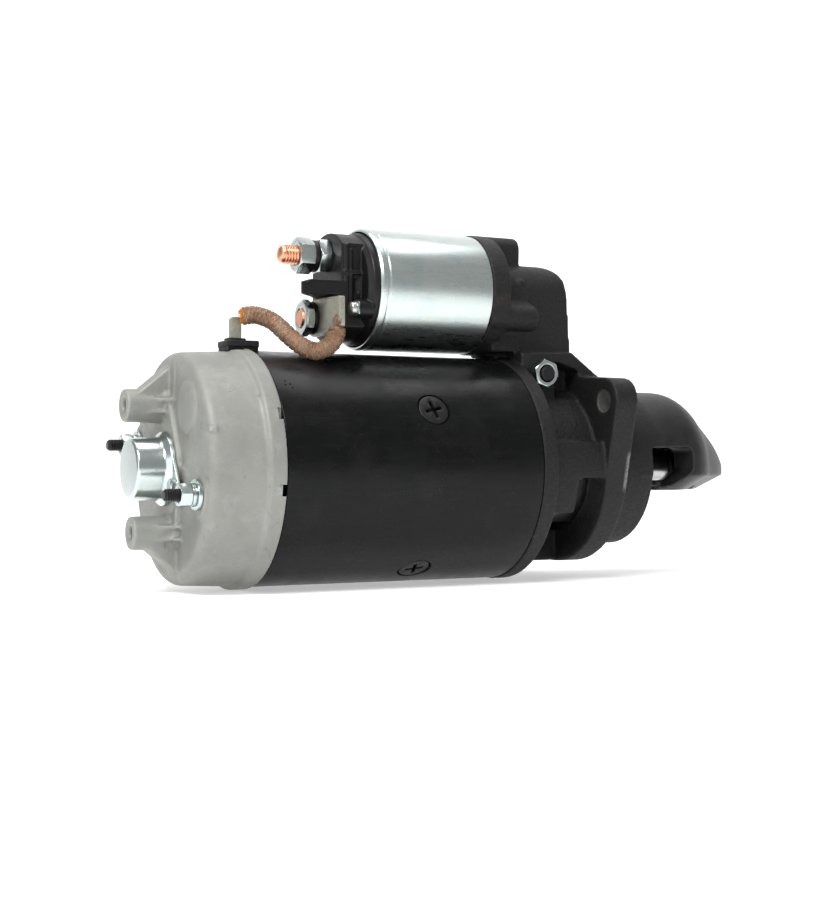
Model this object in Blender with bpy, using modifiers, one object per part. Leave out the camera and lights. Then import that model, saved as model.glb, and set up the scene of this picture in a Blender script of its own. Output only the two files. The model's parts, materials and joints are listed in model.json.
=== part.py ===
"""Pre-engaged starter motor with a solenoid on top, as separate solids.

The helpers take millimetres and make metres. +X runs along the motor axis towards the nose, +Z runs
towards the solenoid, and the origin is the centre of the mounting flange's front face.
"""

import math

import bmesh
import bpy
from mathutils import Matrix, Vector

MM = 0.001
GAP = 0.3  # clearance between solids that touch on the real machine

# Facets round a circle
FINE, MEDIUM, COARSE, HOLE = 36, 24, 16, 10

# Stations along the motor axis
SHIELD_X = -229.7  # outside of the rear wall
SEAM_X = -193.0  # yoke meets the commutator end shield
YOKE_END_X = -55.6
RING_END_X = -47.0  # front of the housing's rear ring
FLANGE_REAR_X = -13.5
PILOT_END_X = 23.0
NOSE_X = 99.2

# Motor
YOKE_R, YOKE_BORE = 57.5, 52.0
RIM_R = 58.6
POLE_ANGLES = (60, 150, 240, 330)
POLE_X = (-168.0, -83.0)
POLE_FACE_R = 37.3
POLE_SCREW_X = -113.5
CORE_X = (-171.0, -81.0)
CORE_R = 36.0
SLOTS = 18
BOLT_ANGLES = (15, 195)
BOLT_CIRCLE_R = 45.0
BOSSES = ((5.0, 30.0), (-5.0, -30.0))  # bracket bosses on the shield, as (y, z)

# Drive
TEETH = 9
PINION_R, PINION_ROOT_R = 18.7, 12.6
PINION_X = (16.5, 39.0)
CLUTCH_R = 29.0
GROOVE_X = (-47.6, -39.2)  # lever groove of the sleeve
SHAFT_R = 7.0

# Lever
PIVOT_X, PIVOT_Z = -36.3, 49.0
LEVER_TIP_X = -30.3
LEVER_FOOT_X = -43.4

# Solenoid
SOL_Z = 90.35
SOL_R = 30.8
CAN_X = (-132.0, -69.0)
SCREW_CIRCLE_R = 25.0
SCREW_ANGLES = (90, 210, 330)
LUG_ENDS = (-38.5, -40.0, -40.2)  # fronts of the housing lugs that hold the solenoid screws
STUD_DZ = 15.5
BATTERY_Z, MOTOR_Z = SOL_Z + STUD_DZ, SOL_Z - STUD_DZ
CAP_X = -147.7  # rear face of the moulded cap
LUG_X = (-155.0, -152.0)

# Mounting flange
EAR_ANGLES = (143.8, 323.8)
EAR_CIRCLE_R = 58.6
EAR_R, EAR_HOLE_R = 12.0, 5.75
DRUM_R, DRUM_TOP = 50.0, 14.0
CAVITY_R = 33.0
PILOT_R = 41.25
NOSE_BOTTOM = -12.0
DRAW_IN = 0.028  # share that the hood loses per millimetre below its crease
SHOULDER_Y = 24.0
TOWER_R = 17.6

RUBBER = ("rubber", (0.02, 0.02, 0.02), 0.7, 0.0)
BLACK_PAINT = ("black_paint", (0.016, 0.017, 0.018), 0.35, 0.0)
CAST_BLACK = ("cast_black", (0.02, 0.021, 0.02), 0.55, 0.0)
CAST_ALLOY = ("cast_alloy", (0.40, 0.41, 0.38), 0.5, 0.6)
ZINC = ("zinc", (0.62, 0.68, 0.67), 0.25, 1.0)
PHENOLIC = ("phenolic", (0.015, 0.015, 0.016), 0.4, 0.0)
COPPER = ("copper", (0.80, 0.36, 0.20), 0.3, 1.0)
TINNED = ("tinned", (0.45, 0.42, 0.33), 0.45, 0.8)
BRAID = ("braid", (0.42, 0.22, 0.13), 0.6, 0.5)
STEEL = ("steel", (0.45, 0.45, 0.44), 0.35, 1.0)
LAMINATION = ("lamination", (0.16, 0.16, 0.17), 0.5, 0.8)
ENAMEL = ("enamel", (0.35, 0.12, 0.05), 0.35, 0.2)
BRONZE = ("bronze", (0.50, 0.30, 0.13), 0.45, 0.9)
CARBON = ("carbon", (0.03, 0.03, 0.03), 0.7, 0.1)


# ---------------------------------------------------------------- outlines


def arc(cy, cz, radius, start, end, count):
    """Points on an arc, angles in degrees from the first axis."""
    steps = [math.radians(start + (end - start) * i / count) for i in range(count + 1)]
    return [(cy + radius * math.cos(a), cz + radius * math.sin(a)) for a in steps]


def circle(cy, cz, radius, count=COARSE):
    return arc(cy, cz, radius, 0, 360, count)[:-1]


def hull(*groups):
    """Convex outline round all the points of the groups."""
    points = sorted({(round(a, 4), round(b, 4)) for group in groups for a, b in group})

    def chain(ordered):
        out = []
        for p in ordered:
            while len(out) > 1 and turn(out[-2], out[-1], p) <= 0:
                out.pop()
            out.append(p)
        return out[:-1]

    return chain(points) + chain(points[::-1])


def turn(a, b, c):
    return (b[0] - a[0]) * (c[1] - a[1]) - (b[1] - a[1]) * (c[0] - a[0])


def polar(radius, angle):
    """(y, z) of a point at this angle from +Y."""
    return radius * math.cos(math.radians(angle)), radius * math.sin(math.radians(angle))


def rectangle(x0, x1, half):
    """Four corners, as wide as half on each side of the first axis."""
    return [(x0, -half), (x1, -half), (x1, half), (x0, half)]


def turned_outline(points, angle):
    """The outline turned about the axis."""
    c, s = polar(1.0, angle)
    return [(a * c - b * s, a * s + b * c) for a, b in points]


# ---------------------------------------------------------------- solids


def new_object(name, mesh):
    obj = bpy.data.objects.new(name, mesh)
    helpers.objects.link(obj)
    return obj


def baked(obj):
    """The object as one closed mesh, with its modifiers or its curve evaluated and its faces outwards."""
    bpy.context.view_layer.update()
    graph = bpy.context.evaluated_depsgraph_get()
    mesh = bpy.data.meshes.new_from_object(obj.evaluated_get(graph))
    name, place = obj.name, obj.matrix_world.copy()
    bpy.data.objects.remove(obj)
    mesh.transform(place)
    work = bmesh.new()
    work.from_mesh(mesh)
    bmesh.ops.remove_doubles(work, verts=work.verts, dist=1e-6)
    bmesh.ops.recalc_face_normals(work, faces=work.faces)
    if work.calc_volume(signed=True) < 0:
        bmesh.ops.reverse_faces(work, faces=work.faces)
    work.to_mesh(mesh)
    work.free()
    return new_object(name, mesh)


def turned(profile, steps=MEDIUM, z=0.0):
    """A closed (x, radius) profile turned about the line through (y=0, z), or ending on it."""
    mesh = bpy.data.meshes.new("turned")
    points = [(x * MM, 0.0, r * MM) for x, r in profile]
    on_axis = profile[0][1] == 0
    edges = [(i, i + 1) for i in range(len(points) - 1)]
    if not on_axis:
        edges.append((len(points) - 1, 0))
    mesh.from_pydata(points, edges, [])
    obj = new_object("turned", mesh)
    screw = obj.modifiers.new("Screw", "SCREW")
    screw.axis = "X"
    screw.steps = screw.render_steps = steps
    screw.use_merge_vertices = True
    screw.merge_threshold = 1e-6
    obj = baked(obj)
    obj.data.transform(Matrix.Translation((0, 0, z * MM)))
    return obj


def tube(x0, x1, outer, inner, steps=MEDIUM, z=0.0):
    return turned([(x0, outer), (x1, outer), (x1, inner), (x0, inner)], steps, z)


def plane_frame(axis):
    """Turns a flat outline's local X, Y and thickness to the plane across this axis."""
    if axis == "X":
        return Matrix(((0, 0, 1, 0), (1, 0, 0, 0), (0, 1, 0, 0), (0, 0, 0, 1)))
    if axis == "Y":
        return Matrix(((1, 0, 0, 0), (0, 0, 1, 0), (0, 1, 0, 0), (0, 0, 0, 1)))
    return Matrix.Identity(4)


def prism(outline, axis, low, high, bevel=0.0, holes=(), bevel_steps=1):
    """A flat outline, in the two other axes' order, as thick as low to high, with optional bevelled edges."""
    curve = bpy.data.curves.new("prism", "CURVE")
    curve.dimensions = "2D"
    curve.fill_mode = "BOTH"
    curve.extrude = (high - low) / 2 * MM - bevel * MM
    curve.bevel_depth = bevel * MM
    curve.bevel_resolution = bevel_steps
    curve.offset = -bevel * MM
    for ring in (outline, *holes):
        spline = curve.splines.new("POLY")
        spline.points.add(len(ring) - 1)
        for point, (a, b) in zip(spline.points, ring):
            point.co = (a * MM, b * MM, 0, 1)
        spline.use_cyclic_u = True
    obj = new_object("prism", curve)
    middle = Vector([(low + high) / 2 * MM if name == axis else 0 for name in "XYZ"])
    obj.matrix_world = Matrix.Translation(middle) @ plane_frame(axis)
    return baked(obj)


def box(low, high):
    size = [(b - a) * MM for a, b in zip(low, high)]
    middle = [(a + b) / 2 * MM for a, b in zip(low, high)]
    mesh = bpy.data.meshes.new("box")
    work = bmesh.new()
    bmesh.ops.create_cube(work, size=1.0)
    work.to_mesh(mesh)
    work.free()
    mesh.transform(Matrix.Translation(middle) @ Matrix.Diagonal((*size, 1)))
    return new_object("box", mesh)


def rod(axis, centre, radius, low, high, sides=COARSE, end_radius=None, twist=0.0):
    """A cylinder or a cone frustum along X, Y or Z. centre holds the two other coordinates."""
    mesh = bpy.data.meshes.new("rod")
    work = bmesh.new()
    bmesh.ops.create_cone(
        work,
        cap_ends=True,
        segments=sides,
        radius1=radius * MM,
        radius2=(radius if end_radius is None else end_radius) * MM,
        depth=(high - low) * MM,
    )
    work.to_mesh(mesh)
    work.free()
    middle = list(centre)
    middle.insert("XYZ".index(axis), (low + high) / 2)
    aim = {"X": Vector((1, 0, 0)), "Y": Vector((0, 1, 0)), "Z": Vector((0, 0, 1))}[axis]
    spin = Matrix.Rotation(math.radians(twist), 4, "Z")
    place = Matrix.Translation([v * MM for v in middle])
    mesh.transform(place @ aim.to_track_quat("Z", "X").to_matrix().to_4x4() @ spin)
    obj = new_object("rod", mesh)
    return baked(obj)


def spun(obj, angle):
    """The object turned about the motor axis by this many degrees."""
    obj.data.transform(Matrix.Rotation(math.radians(angle), 4, "X"))
    return obj


def shader(look):
    name, colour, roughness, metallic = look
    material = bpy.data.materials.get(name) or bpy.data.materials.new(name)
    material.use_nodes = True
    surface = material.node_tree.nodes["Principled BSDF"]
    surface.inputs["Base Color"].default_value = (*colour, 1)
    surface.inputs["Roughness"].default_value = roughness
    surface.inputs["Metallic"].default_value = metallic
    material.diffuse_color = (*colour, 1)
    return material


def combine(base, joins=(), cuts=(), more=()):
    """Joins helper solids to a base and cuts others from it as modifiers. More is joined after the cuts."""
    work = [("UNION", o) for o in joins] + [("DIFFERENCE", o) for o in cuts]
    for operation, other in work + [("UNION", o) for o in more]:
        other.hide_render = True
        other.display_type = "WIRE"
        modifier = base.modifiers.new(operation.title(), "BOOLEAN")
        modifier.operation = operation
        modifier.object = other
    return base


def part(name, look, obj, rides=None):
    """Names a solid, gives it its material and puts it among the parts, under the empty that it moves with."""
    obj.name = obj.data.name = name
    helpers.objects.unlink(obj)
    parts.objects.link(obj)
    obj.data.materials.clear()
    obj.data.materials.append(shader(look))
    obj.data.shade_smooth()
    obj.data.set_sharp_from_angle(angle=math.radians(35))
    if rides is not None:
        obj.parent = rides
        obj.matrix_parent_inverse = rides.matrix_world.inverted()
    return obj


def empty(name, x, y, z):
    obj = bpy.data.objects.new(name, None)
    obj.location = (x * MM, y * MM, z * MM)
    parts.objects.link(obj)
    bpy.context.view_layer.update()
    return obj


# ---------------------------------------------------------------- commutator end


def bracket_boss(y, z):
    """A threaded boss with a broad web to the rim and two thin fins."""
    out = math.copysign(1, z)
    boss = rod("X", (y, z), 7.9, SHIELD_X - 21.3, SHIELD_X + 2, end_radius=8.6)
    web_side = [
        (SHIELD_X - 16, z + 3 * out),
        (SHIELD_X + 0.6, out * 50.5),
        (SHIELD_X + 2, out * 50.5),
        (SHIELD_X + 2, z),
        (SHIELD_X - 16, z),
    ]
    web = prism(web_side, "Y", y - 6.5, y + 6.5)
    fin_side = [(SHIELD_X - 13, 0), (SHIELD_X - 3, 9.5), (SHIELD_X + 2, 9.5), (SHIELD_X + 2, 0)]
    fins = []
    for side in (1, -1):
        fin = prism([(x, y + side * (6 + d)) for x, d in fin_side], "Z", z - 1.3, z + 1.3)
        fins.append(fin)
    return [boss, web, *fins]


def commutator_end():
    wall = [
        (SEAM_X - GAP, RIM_R),
        (SEAM_X - 8, RIM_R),
        (SEAM_X - 9, 56.8),
        (SHIELD_X + 4.2, 55.4),
        (SHIELD_X + 1.2, 54.0),
        (SHIELD_X, 51.0),
        (SHIELD_X, 8.8),
        (SHIELD_X + 16, 8.8),
        (SHIELD_X + 16, 13),
        (SHIELD_X + 5, 15),
        (SHIELD_X + 5, 47),
        (SHIELD_X + 9, 51),
        (SEAM_X - GAP, 52.5),
    ]
    shell = turned(wall, FINE)
    boss_rings = [circle(y, z, 9.5) for y, z in BOSSES]
    platform = prism(hull(circle(0, 0, 19), *boss_rings), "X", SHIELD_X - 2.6, SHIELD_X + 2)
    pads = []
    for angle in BOLT_ANGLES:
        y, z = polar(BOLT_CIRCLE_R, angle)
        pad = hull(circle(y, z, 9), circle(y * 0.45, z * 0.45, 7))
        pads.append(prism(pad, "X", SHIELD_X - 0.8, SHIELD_X + 2))
    bulge = rod("X", (-27, 28.4), 11, SHIELD_X - 1.2, SHIELD_X + 2, end_radius=12.5)
    joins = [platform, bulge, *pads]
    for y, z in BOSSES:
        joins += bracket_boss(y, z)
    cuts = [rod("X", (0, 0), 8.8, SHIELD_X - 8, SHIELD_X + 10)]
    cuts += [rod("X", (y, z), 3.3, SHIELD_X - 23, SHIELD_X - 5, HOLE) for y, z in BOSSES]
    cuts += [rod("X", polar(BOLT_CIRCLE_R, a), 3.4, SHIELD_X - 5, SEAM_X + 5, HOLE) for a in BOLT_ANGLES]
    for z in (25.5, -9.8):
        cuts.append(box((SEAM_X - 2.8, -70, z - 2.7), (SEAM_X + 2, -50, z + 2.7)))
    cuts.append(box((SEAM_X - 10.5, -7.4, 49), (SEAM_X + 2, 7.4, 70)))
    for side in (1, -1):
        y, z = polar(21.5 * side, 22)
        cuts.append(rod("X", (y, z), 2.0, SHIELD_X - 8, SHIELD_X + 3, HOLE))
    part("commutator_end_shield", CAST_ALLOY, combine(shell, joins, cuts))
    part("commutator_bush", BRONZE, tube(SHIELD_X - 1, SHIELD_X + 15, 8.4, 6.2, COARSE))


def bearing_cap():
    """A drawn cup on a two-eared base, held by two small screws."""
    base_x = SHIELD_X - 2.6 - GAP
    cup = turned(
        [
            (base_x - 1.6, 0),
            (base_x - 1.6, 17),
            (base_x - 4.5, 15.2),
            (base_x - 16.4, 14.8),
            (base_x - 17.4, 13.8),
            (base_x - 17.4, 0),
        ],
        MEDIUM,
    )
    ears = [circle(*polar(21.5 * side, 22), 4.6) for side in (1, -1)]
    plate = prism(hull(circle(0, 0, 17.2), *ears), "X", base_x - 1.7, base_x)
    inside = [(base_x + 2, 0), (base_x + 2, 13.2), (base_x - 15.4, 12.8), (base_x - 15.4, 0)]
    hollow = turned(inside, MEDIUM)
    holes = [rod("X", polar(21.5 * side, 22), 2.3, base_x - 3, base_x + 2, HOLE) for side in (1, -1)]
    part("bearing_cap", ZINC, combine(cup, [plate], [hollow, *holes]))
    for label, side in (("a", 1), ("b", -1)):
        y, z = polar(21.5 * side, 22)
        head = rod("X", (y, z), 3.6, base_x - 4.4, base_x - 2.0, HOLE)
        shank = rod("X", (y, z), 1.7, base_x - 2.4, base_x + 5.0, 10)
        part(f"bearing_cap_screw_{label}", ZINC, combine(head, [shank]))


def through_bolts():
    for label, angle in (("a", BOLT_ANGLES[0]), ("b", BOLT_ANGLES[1])):
        y, z = polar(BOLT_CIRCLE_R, angle)
        shank = rod("X", (y, z), 3.0, SHIELD_X - 17.6, RING_END_X - 2.4, HOLE)
        part(f"through_bolt_{label}", BLACK_PAINT, shank)
        nut = rod("X", (y, z), 5.8, SHIELD_X - 10.8, SHIELD_X - 5.0, 6)
        spring_washer = rod("X", (y, z), 5.4, SHIELD_X - 5.2, SHIELD_X - 3.0, HOLE)
        washer = rod("X", (y, z), 7.2, SHIELD_X - 3.2, SHIELD_X - 1.2, HOLE)
        bore = rod("X", (y, z), 3.3, SHIELD_X - 12, SHIELD_X, HOLE)
        part(f"through_bolt_nut_{label}", ZINC, combine(nut, [spring_washer, washer], [bore]))


# ---------------------------------------------------------------- field


def yoke():
    body = tube(SEAM_X, YOKE_END_X, YOKE_R, YOKE_BORE, FINE)
    cuts = [box((SEAM_X - 2, -7.4, 48), (SEAM_X + 6.5, 7.4, 70))]
    for angle in POLE_ANGLES:
        head = rod("Z", (POLE_SCREW_X, 0), 5.4, 49, 60, end_radius=9.4)
        cuts.append(spun(head, angle - 90))
    part("yoke", BLACK_PAINT, combine(body, cuts=cuts))


def pole_shoe_outline():
    """Cross-section of a shoe that points at +Z: a body with two horns that follow the armature."""
    face = arc(0, 0, POLE_FACE_R, 90 + 40, 90 - 40, 10)
    horn = arc(0, 0, 41.0, 90 - 40, math.degrees(math.atan2(41, 15)), 3)
    back = arc(0, 0, YOKE_BORE - GAP, 74, 106, 4)
    left = [(-a, b) for a, b in horn[::-1]]
    return face + horn + back + left


def field():
    shank_bore = 5.35
    for number, angle in enumerate(POLE_ANGLES, 1):
        shoe = prism(pole_shoe_outline(), "X", *POLE_X)
        bore = rod("Z", (POLE_SCREW_X, 0), shank_bore, 42, 60, HOLE)
        part(f"pole_shoe_{number}", LAMINATION, spun(combine_now(shoe, [bore]), angle - 90))
        head = rod("Z", (POLE_SCREW_X, 0), 4.95, 52.1, 57.0, end_radius=7.9)
        shank = rod("Z", (POLE_SCREW_X, 0), 4.9, 43.0, 53.0)
        slot_a = box((POLE_SCREW_X - 4.6, -0.9, 54.4), (POLE_SCREW_X + 4.6, 0.9, 59))
        slot_b = box((POLE_SCREW_X - 0.9, -4.6, 54.4), (POLE_SCREW_X + 0.9, 4.6, 59))
        screw = combine_now(combine_now(head, [shank], "UNION"), [slot_a, slot_b])
        part(f"pole_screw_{number}", BLACK_PAINT, spun(screw, angle - 90))
    part("field_winding", ENAMEL, field_winding())


def combine_now(base, others, operation="DIFFERENCE"):
    """A Boolean that is applied at once, for a solid that is turned into place afterwards."""
    for other in others:
        modifier = base.modifiers.new(operation.title(), "BOOLEAN")
        modifier.operation = operation
        modifier.object = other
    solid = baked(base)
    for other in others:
        bpy.data.objects.remove(other)
    return solid


def field_winding():
    """Four coils, one round each shoe, joined by a connecting ring at the drive end."""
    coils = []
    for angle in POLE_ANGLES:
        outline = rectangle(POLE_X[0] - 10, POLE_X[1] + 10, 25.5)
        hole = rectangle(POLE_X[0] - 1, POLE_X[1] + 1, 15.5)
        ring = prism(outline, "Z", 30, 60, holes=[hole])
        layer = tube(POLE_X[0] - 11, POLE_X[1] + 11, YOKE_BORE - 0.8, 41.8, MEDIUM)
        coil = combine_now(ring, [layer], "INTERSECT")
        coils.append(spun(coil, angle - 90))
    connector = tube(POLE_X[1] + 8.6, POLE_X[1] + 11.6, 50.4, 48.2, MEDIUM)
    lead = box((SEAM_X - 4.0, -4, 45.2), (POLE_X[0] - 8, 4, 47.2))
    foot = spun(box((POLE_X[0] - 14, -2.5, 45.0), (POLE_X[0] - 8, 2.5, 50.0)), -15)
    strap = arc(0, 0, 48.5, 60, 95, 8) + arc(0, 0, 45.5, 95, 60, 8)
    bridge = prism(strap, "X", POLE_X[0] - 13, POLE_X[0] - 8)
    return combine(coils[0], [*coils[1:], connector, bridge, foot, lead])


def terminal():
    """The winding's end comes up through a grommet in the seam."""
    strip = box((SEAM_X - 6.6, -1.0, 48.0), (SEAM_X - 0.6, 1.0, 74.0))
    part("field_terminal_strip", TINNED, strip)
    plate = prism(rectangle(SEAM_X - 10, SEAM_X + 6.2, 8), "Z", 58.8, 62.0, 0.6)
    neck = box((SEAM_X - 9.6, -6.8, 50.0), (SEAM_X + 5.8, 6.8, 59.6))
    slot = box((SEAM_X - 7.1, -1.5, 45.0), (SEAM_X - 0.1, 1.5, 66.0))
    part("terminal_grommet", RUBBER, combine(plate, [neck], [slot]))


# ---------------------------------------------------------------- armature and brushes


def slotted_outline():
    """The core's section: open slots round a disc."""
    points = []
    for i in range(SLOTS):
        middle = 360 / SLOTS * i
        half = math.degrees(2.2 / CORE_R)
        points += arc(0, 0, 26.4, middle - half * 1.36, middle + half * 1.36, 1)
        points += arc(0, 0, CORE_R, middle + half, middle + 360 / SLOTS - half, 1)
    return points


def armature(axis):
    shaft = turned(
        [
            (SHIELD_X - 10.5, 0),
            (SHIELD_X - 11, 5.8),
            (-210, 5.8),
            (-210, 8.0),
            (-180.8, 8.0),
            (-180.8, 9.5),
            (-67, 9.5),
            (-67, 8.6),
            (-50.6, 8.6),
            (-50.6, SHAFT_R),
            (69.5, SHAFT_R),
            (69.5, 6.0),
            (83.5, 6.0),
            (84.5, 5.0),
            (84.5, 0),
        ],
        COARSE,
    )
    part("armature_shaft", STEEL, shaft, axis)
    core = prism(slotted_outline(), "X", *CORE_X, holes=[circle(0, 0, 9.8)])
    part("armature_core", LAMINATION, core, axis)
    rear = tube(CORE_X[0] - 11.2, CORE_X[0] - 0.4, 34.2, 10.2)
    front = tube(CORE_X[1] + 0.4, CORE_X[1] + 11.5, 34.2, 10.2)
    bars = []
    for i in range(SLOTS):
        bar = box((CORE_X[0] - 2, -1.7, 26.9), (CORE_X[1] + 2, 1.7, 33.8))
        bars.append(spun(bar, 360 / SLOTS * i - 90))
    part("armature_winding", COPPER, combine(rear, [front, *bars]), axis)
    segments = turned_outline(commutator_outline(), 3)
    drum = prism(segments, "X", -209, -187, holes=[circle(0, 0, 8.3)])
    riser = tube(-187.5, CORE_X[0] - 11.6, 24.5, 8.4)
    part("commutator", COPPER, combine(drum, [riser]), axis)


def commutator_outline():
    points = []
    for i in range(SLOTS):
        middle = 360 / SLOTS * i
        points += arc(0, 0, 19.8, middle - 1.2, middle + 1.2, 1)
        points += arc(0, 0, 21.0, middle + 1.2, middle + 360 / SLOTS - 1.2, 1)
    return points


def brush_gear(pivots):
    plate = tube(-213.2, -210.8, 49, 24)
    joins, cuts = [], []
    for angle in POLE_ANGLES:
        joins.append(spun(box((-211.8, -8.0, 24.5), (-192, 8.0, 45.0)), angle - 90))
        cuts.append(spun(box((-207.8, -6.4, 20.0), (-192.9, 6.4, 50.0)), angle - 90))
    cuts += [rod("X", polar(BOLT_CIRCLE_R, a), 4.2, -216, -205, HOLE) for a in BOLT_ANGLES]
    part("brush_plate", TINNED, combine(plate, joins, cuts))
    for number, angle in enumerate(POLE_ANGLES, 1):
        brush = spun(box((-207.4, -6.0, 21.4), (-193.3, 6.0, 37.0)), angle - 90)
        part(f"brush_{number}", CARBON, brush, pivots[number - 1])


# ---------------------------------------------------------------- drive-end housing


def nose_profile():
    """(x, radius) of the hood above the motor axis, from the end of its straight drum to the tip."""
    return [
        (52, 41.4),
        (57, 39.7),
        (62, 36.6),
        (68, 31.4),
        (76, 25.2),
        (84, 18.6),
        (90, 12.9),
        (95, 7.6),
        (98, 4.2),
        (NOSE_X, 1.6),
    ]


def nose_hood():
    """A solid loft: round above the motor axis, with sides and a tip that draw in below it."""
    stations = [(15, 41.6), (30, 41.8), (45, 41.9), *nose_profile()]
    work = bmesh.new()
    rings = []
    for x, radius in stations:
        right = [(radius, -16.0), (radius, -4.0)]
        outline = right + arc(0, 0, radius, 0, 180, 14) + [(-y, z) for y, z in right[::-1]]
        ring = []
        for y, z in outline:
            drawn_in = 1.0 + min(z + 4.0, 0.0) * DRAW_IN
            ring.append(work.verts.new(((15 + (x - 15) * drawn_in) * MM, y * drawn_in * MM, z * MM)))
        rings.append(ring)
    count = len(rings[0])
    for near, far in zip(rings, rings[1:]):
        for i in range(count):
            j = (i + 1) % count
            work.faces.new((near[i], near[j], far[j], far[i]))
    for ring in (rings[0], rings[-1]):
        for i in range(count // 2):
            strip = [ring[i], ring[i + 1], ring[count - 2 - i], ring[count - 1 - i]]
            work.faces.new(list(dict.fromkeys(strip)))
    bmesh.ops.triangulate(work, faces=work.faces)
    mesh = bpy.data.meshes.new("hood")
    work.to_mesh(mesh)
    work.free()
    return baked(new_object("hood", mesh))


def drive_end_housing():
    body = turned(
        [
            (-68, 0),
            (-68, 40.0),
            (YOKE_END_X + GAP, 40.0),
            (YOKE_END_X + GAP, 58.0),
            (RING_END_X, 58.0),
            (RING_END_X, 42.0),
            (-6, 42.0),
            (-6, PILOT_R),
            (PILOT_END_X, PILOT_R),
            (PILOT_END_X, 0),
        ],
        FINE,
    )
    ears = [circle(*polar(EAR_CIRCLE_R, angle), EAR_R) for angle in EAR_ANGLES]
    flange = prism(hull(circle(0, 0, DRUM_R, FINE), *ears), "X", FLANGE_REAR_X, 0)
    rim = hull([(-DRUM_R * 0.95, DRUM_TOP), (DRUM_R * 0.95, DRUM_TOP)], arc(0, 0, DRUM_R - 0.4, 164, 376, 30))
    drum = prism(rim, "X", RING_END_X - 1, -2)
    shoulder_side = [(RING_END_X - 1, 20), (RING_END_X - 1, 60), (-17, 61), (-0.4, 48.9), (-0.4, 20)]
    shoulder = prism(shoulder_side, "Y", -SHOULDER_Y, SHOULDER_Y, bevel=0.8)
    joins = [flange, drum, shoulder, nose_hood(), *solenoid_seat()]
    part("drive_end_housing", CAST_BLACK, combine(body, joins, housing_cuts()))


def solenoid_seat():
    """The round solenoid flange, its three screw lugs, the lever tower and the foot under the flange."""
    flange = rod("X", (0, SOL_Z), 31.0, CAN_X[1] + GAP, -58, MEDIUM)
    cone = rod("X", (0, SOL_Z), 26.0, -60, -48.6, MEDIUM, end_radius=16.4)
    lugs = []
    for angle, rear, front in zip(SCREW_ANGLES, (-67.6, -67.3, -67.0), LUG_ENDS):
        y, z = polar(SCREW_CIRCLE_R, angle)
        lugs.append(prism(hull(circle(y, z + SOL_Z, 7.0, 14), circle(0, SOL_Z, 5.2, 14)), "X", rear, front))
    side = [(-66, 60), (-66, SOL_Z + TOWER_R)]
    side += arc(-27.2, SOL_Z + TOWER_R - 11, 11, 90, 0, 6)
    side += [(-13.4, 58)]
    column = prism([(-TOWER_R, 40), (TOWER_R, 40), *arc(0, SOL_Z, TOWER_R, 0, 180, 12)], "X", -62, -5)
    face = prism(side, "Y", -30, 30)
    tower = combine_now(column, [face], "INTERSECT")
    foot_side = [(-59.4, 58.4), (-54.6, 58.4), (-54.6, 56), (-43.5, 56), (-43.5, 72), (-59.4, 72)]
    foot = prism(foot_side, "Y", -9.3, 9.3)
    return [flange, cone, tower, foot, *lugs]


def housing_cuts():
    bores = turned(
        [
            (-74, 0),
            (-74, 51.9),
            (YOKE_END_X + GAP + 2.3, 51.9),
            (YOKE_END_X + GAP + 2.3, CAVITY_R),
            (PILOT_END_X + 9, CAVITY_R),
            (PILOT_END_X + 9, 24),
            (65, 24),
            (65, 11),
            (70.4, 11),
            (70.4, 8.8),
            (86, 8.8),
            (86, 0),
        ],
        FINE,
    )
    cuts = [bores]
    cuts.append(box((PILOT_END_X, -60, -60), (120, 60, NOSE_BOTTOM)))
    rear = PILOT_END_X + 0.06
    near_window = [(rear, -14), (29.5, -14), (30.5, -10.6), (40, -8.6), (48.6, -1.5)]
    near_window += [*arc(46.4, 8.1, 2.8, 0, 90, 4), (rear, 10.9)]
    cuts.append(prism(near_window, "Y", -60, -20))
    plunger_bore = rod("X", (0, SOL_Z), 12.2, -80, -20)
    lever_slot = box((-50, -8, 20), (-17, 8, SOL_Z + 6))
    fork_room = box((-55, -22.3, -12.6), (-20, 22.3, 30.1))
    cuts += [plunger_bore, lever_slot, fork_room]
    rear, front = -27.5, FLANGE_REAR_X + 0.2
    for side in (1, -1):
        outline = [(rear, DRUM_TOP - 0.6), (front, DRUM_TOP - 0.6), (front, 51.5), (rear, 55.8)]
        pocket = prism(outline, "Y", *sorted((11.5 * side, 60 * side)))
        cuts.append(combine_now(pocket, [rod("X", (0, 0), 42.7, -40, 0, MEDIUM)]))
    for angle in EAR_ANGLES:
        cuts.append(rod("X", polar(EAR_CIRCLE_R, angle), EAR_HOLE_R, -20, 10))
    cuts.append(rod("Y", (PIVOT_X, PIVOT_Z), 4.3, -60, 60, HOLE))
    for angle, end in zip(SCREW_ANGLES, LUG_ENDS):
        y, z = polar(SCREW_CIRCLE_R, angle)
        cuts.append(rod("X", (y, z + SOL_Z), 2.9, -80, -38, 10))
        cuts.append(rod("X", (y, z + SOL_Z), 4.2, end - 4.4, -30, HOLE))
    cuts += [rod("X", polar(BOLT_CIRCLE_R, a), 3.4, -60, RING_END_X - 1.6, HOLE) for a in BOLT_ANGLES]
    return cuts + window_cuts()


def window_cuts():
    """The slot in the drum: narrow at the side, wide at the bottom."""
    wedge = [polar(20, 186), polar(75, 186), polar(75, 215), polar(75, 245), polar(75, 268), polar(20, 268)]
    upper = prism(wedge, "X", -29, FLANGE_REAR_X + 0.2)
    wide = [polar(21, 208), polar(80, 208), polar(80, 236), polar(80, 265), polar(21, 265)]
    return [upper, prism(wide, "X", -45.5, -28)]


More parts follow.
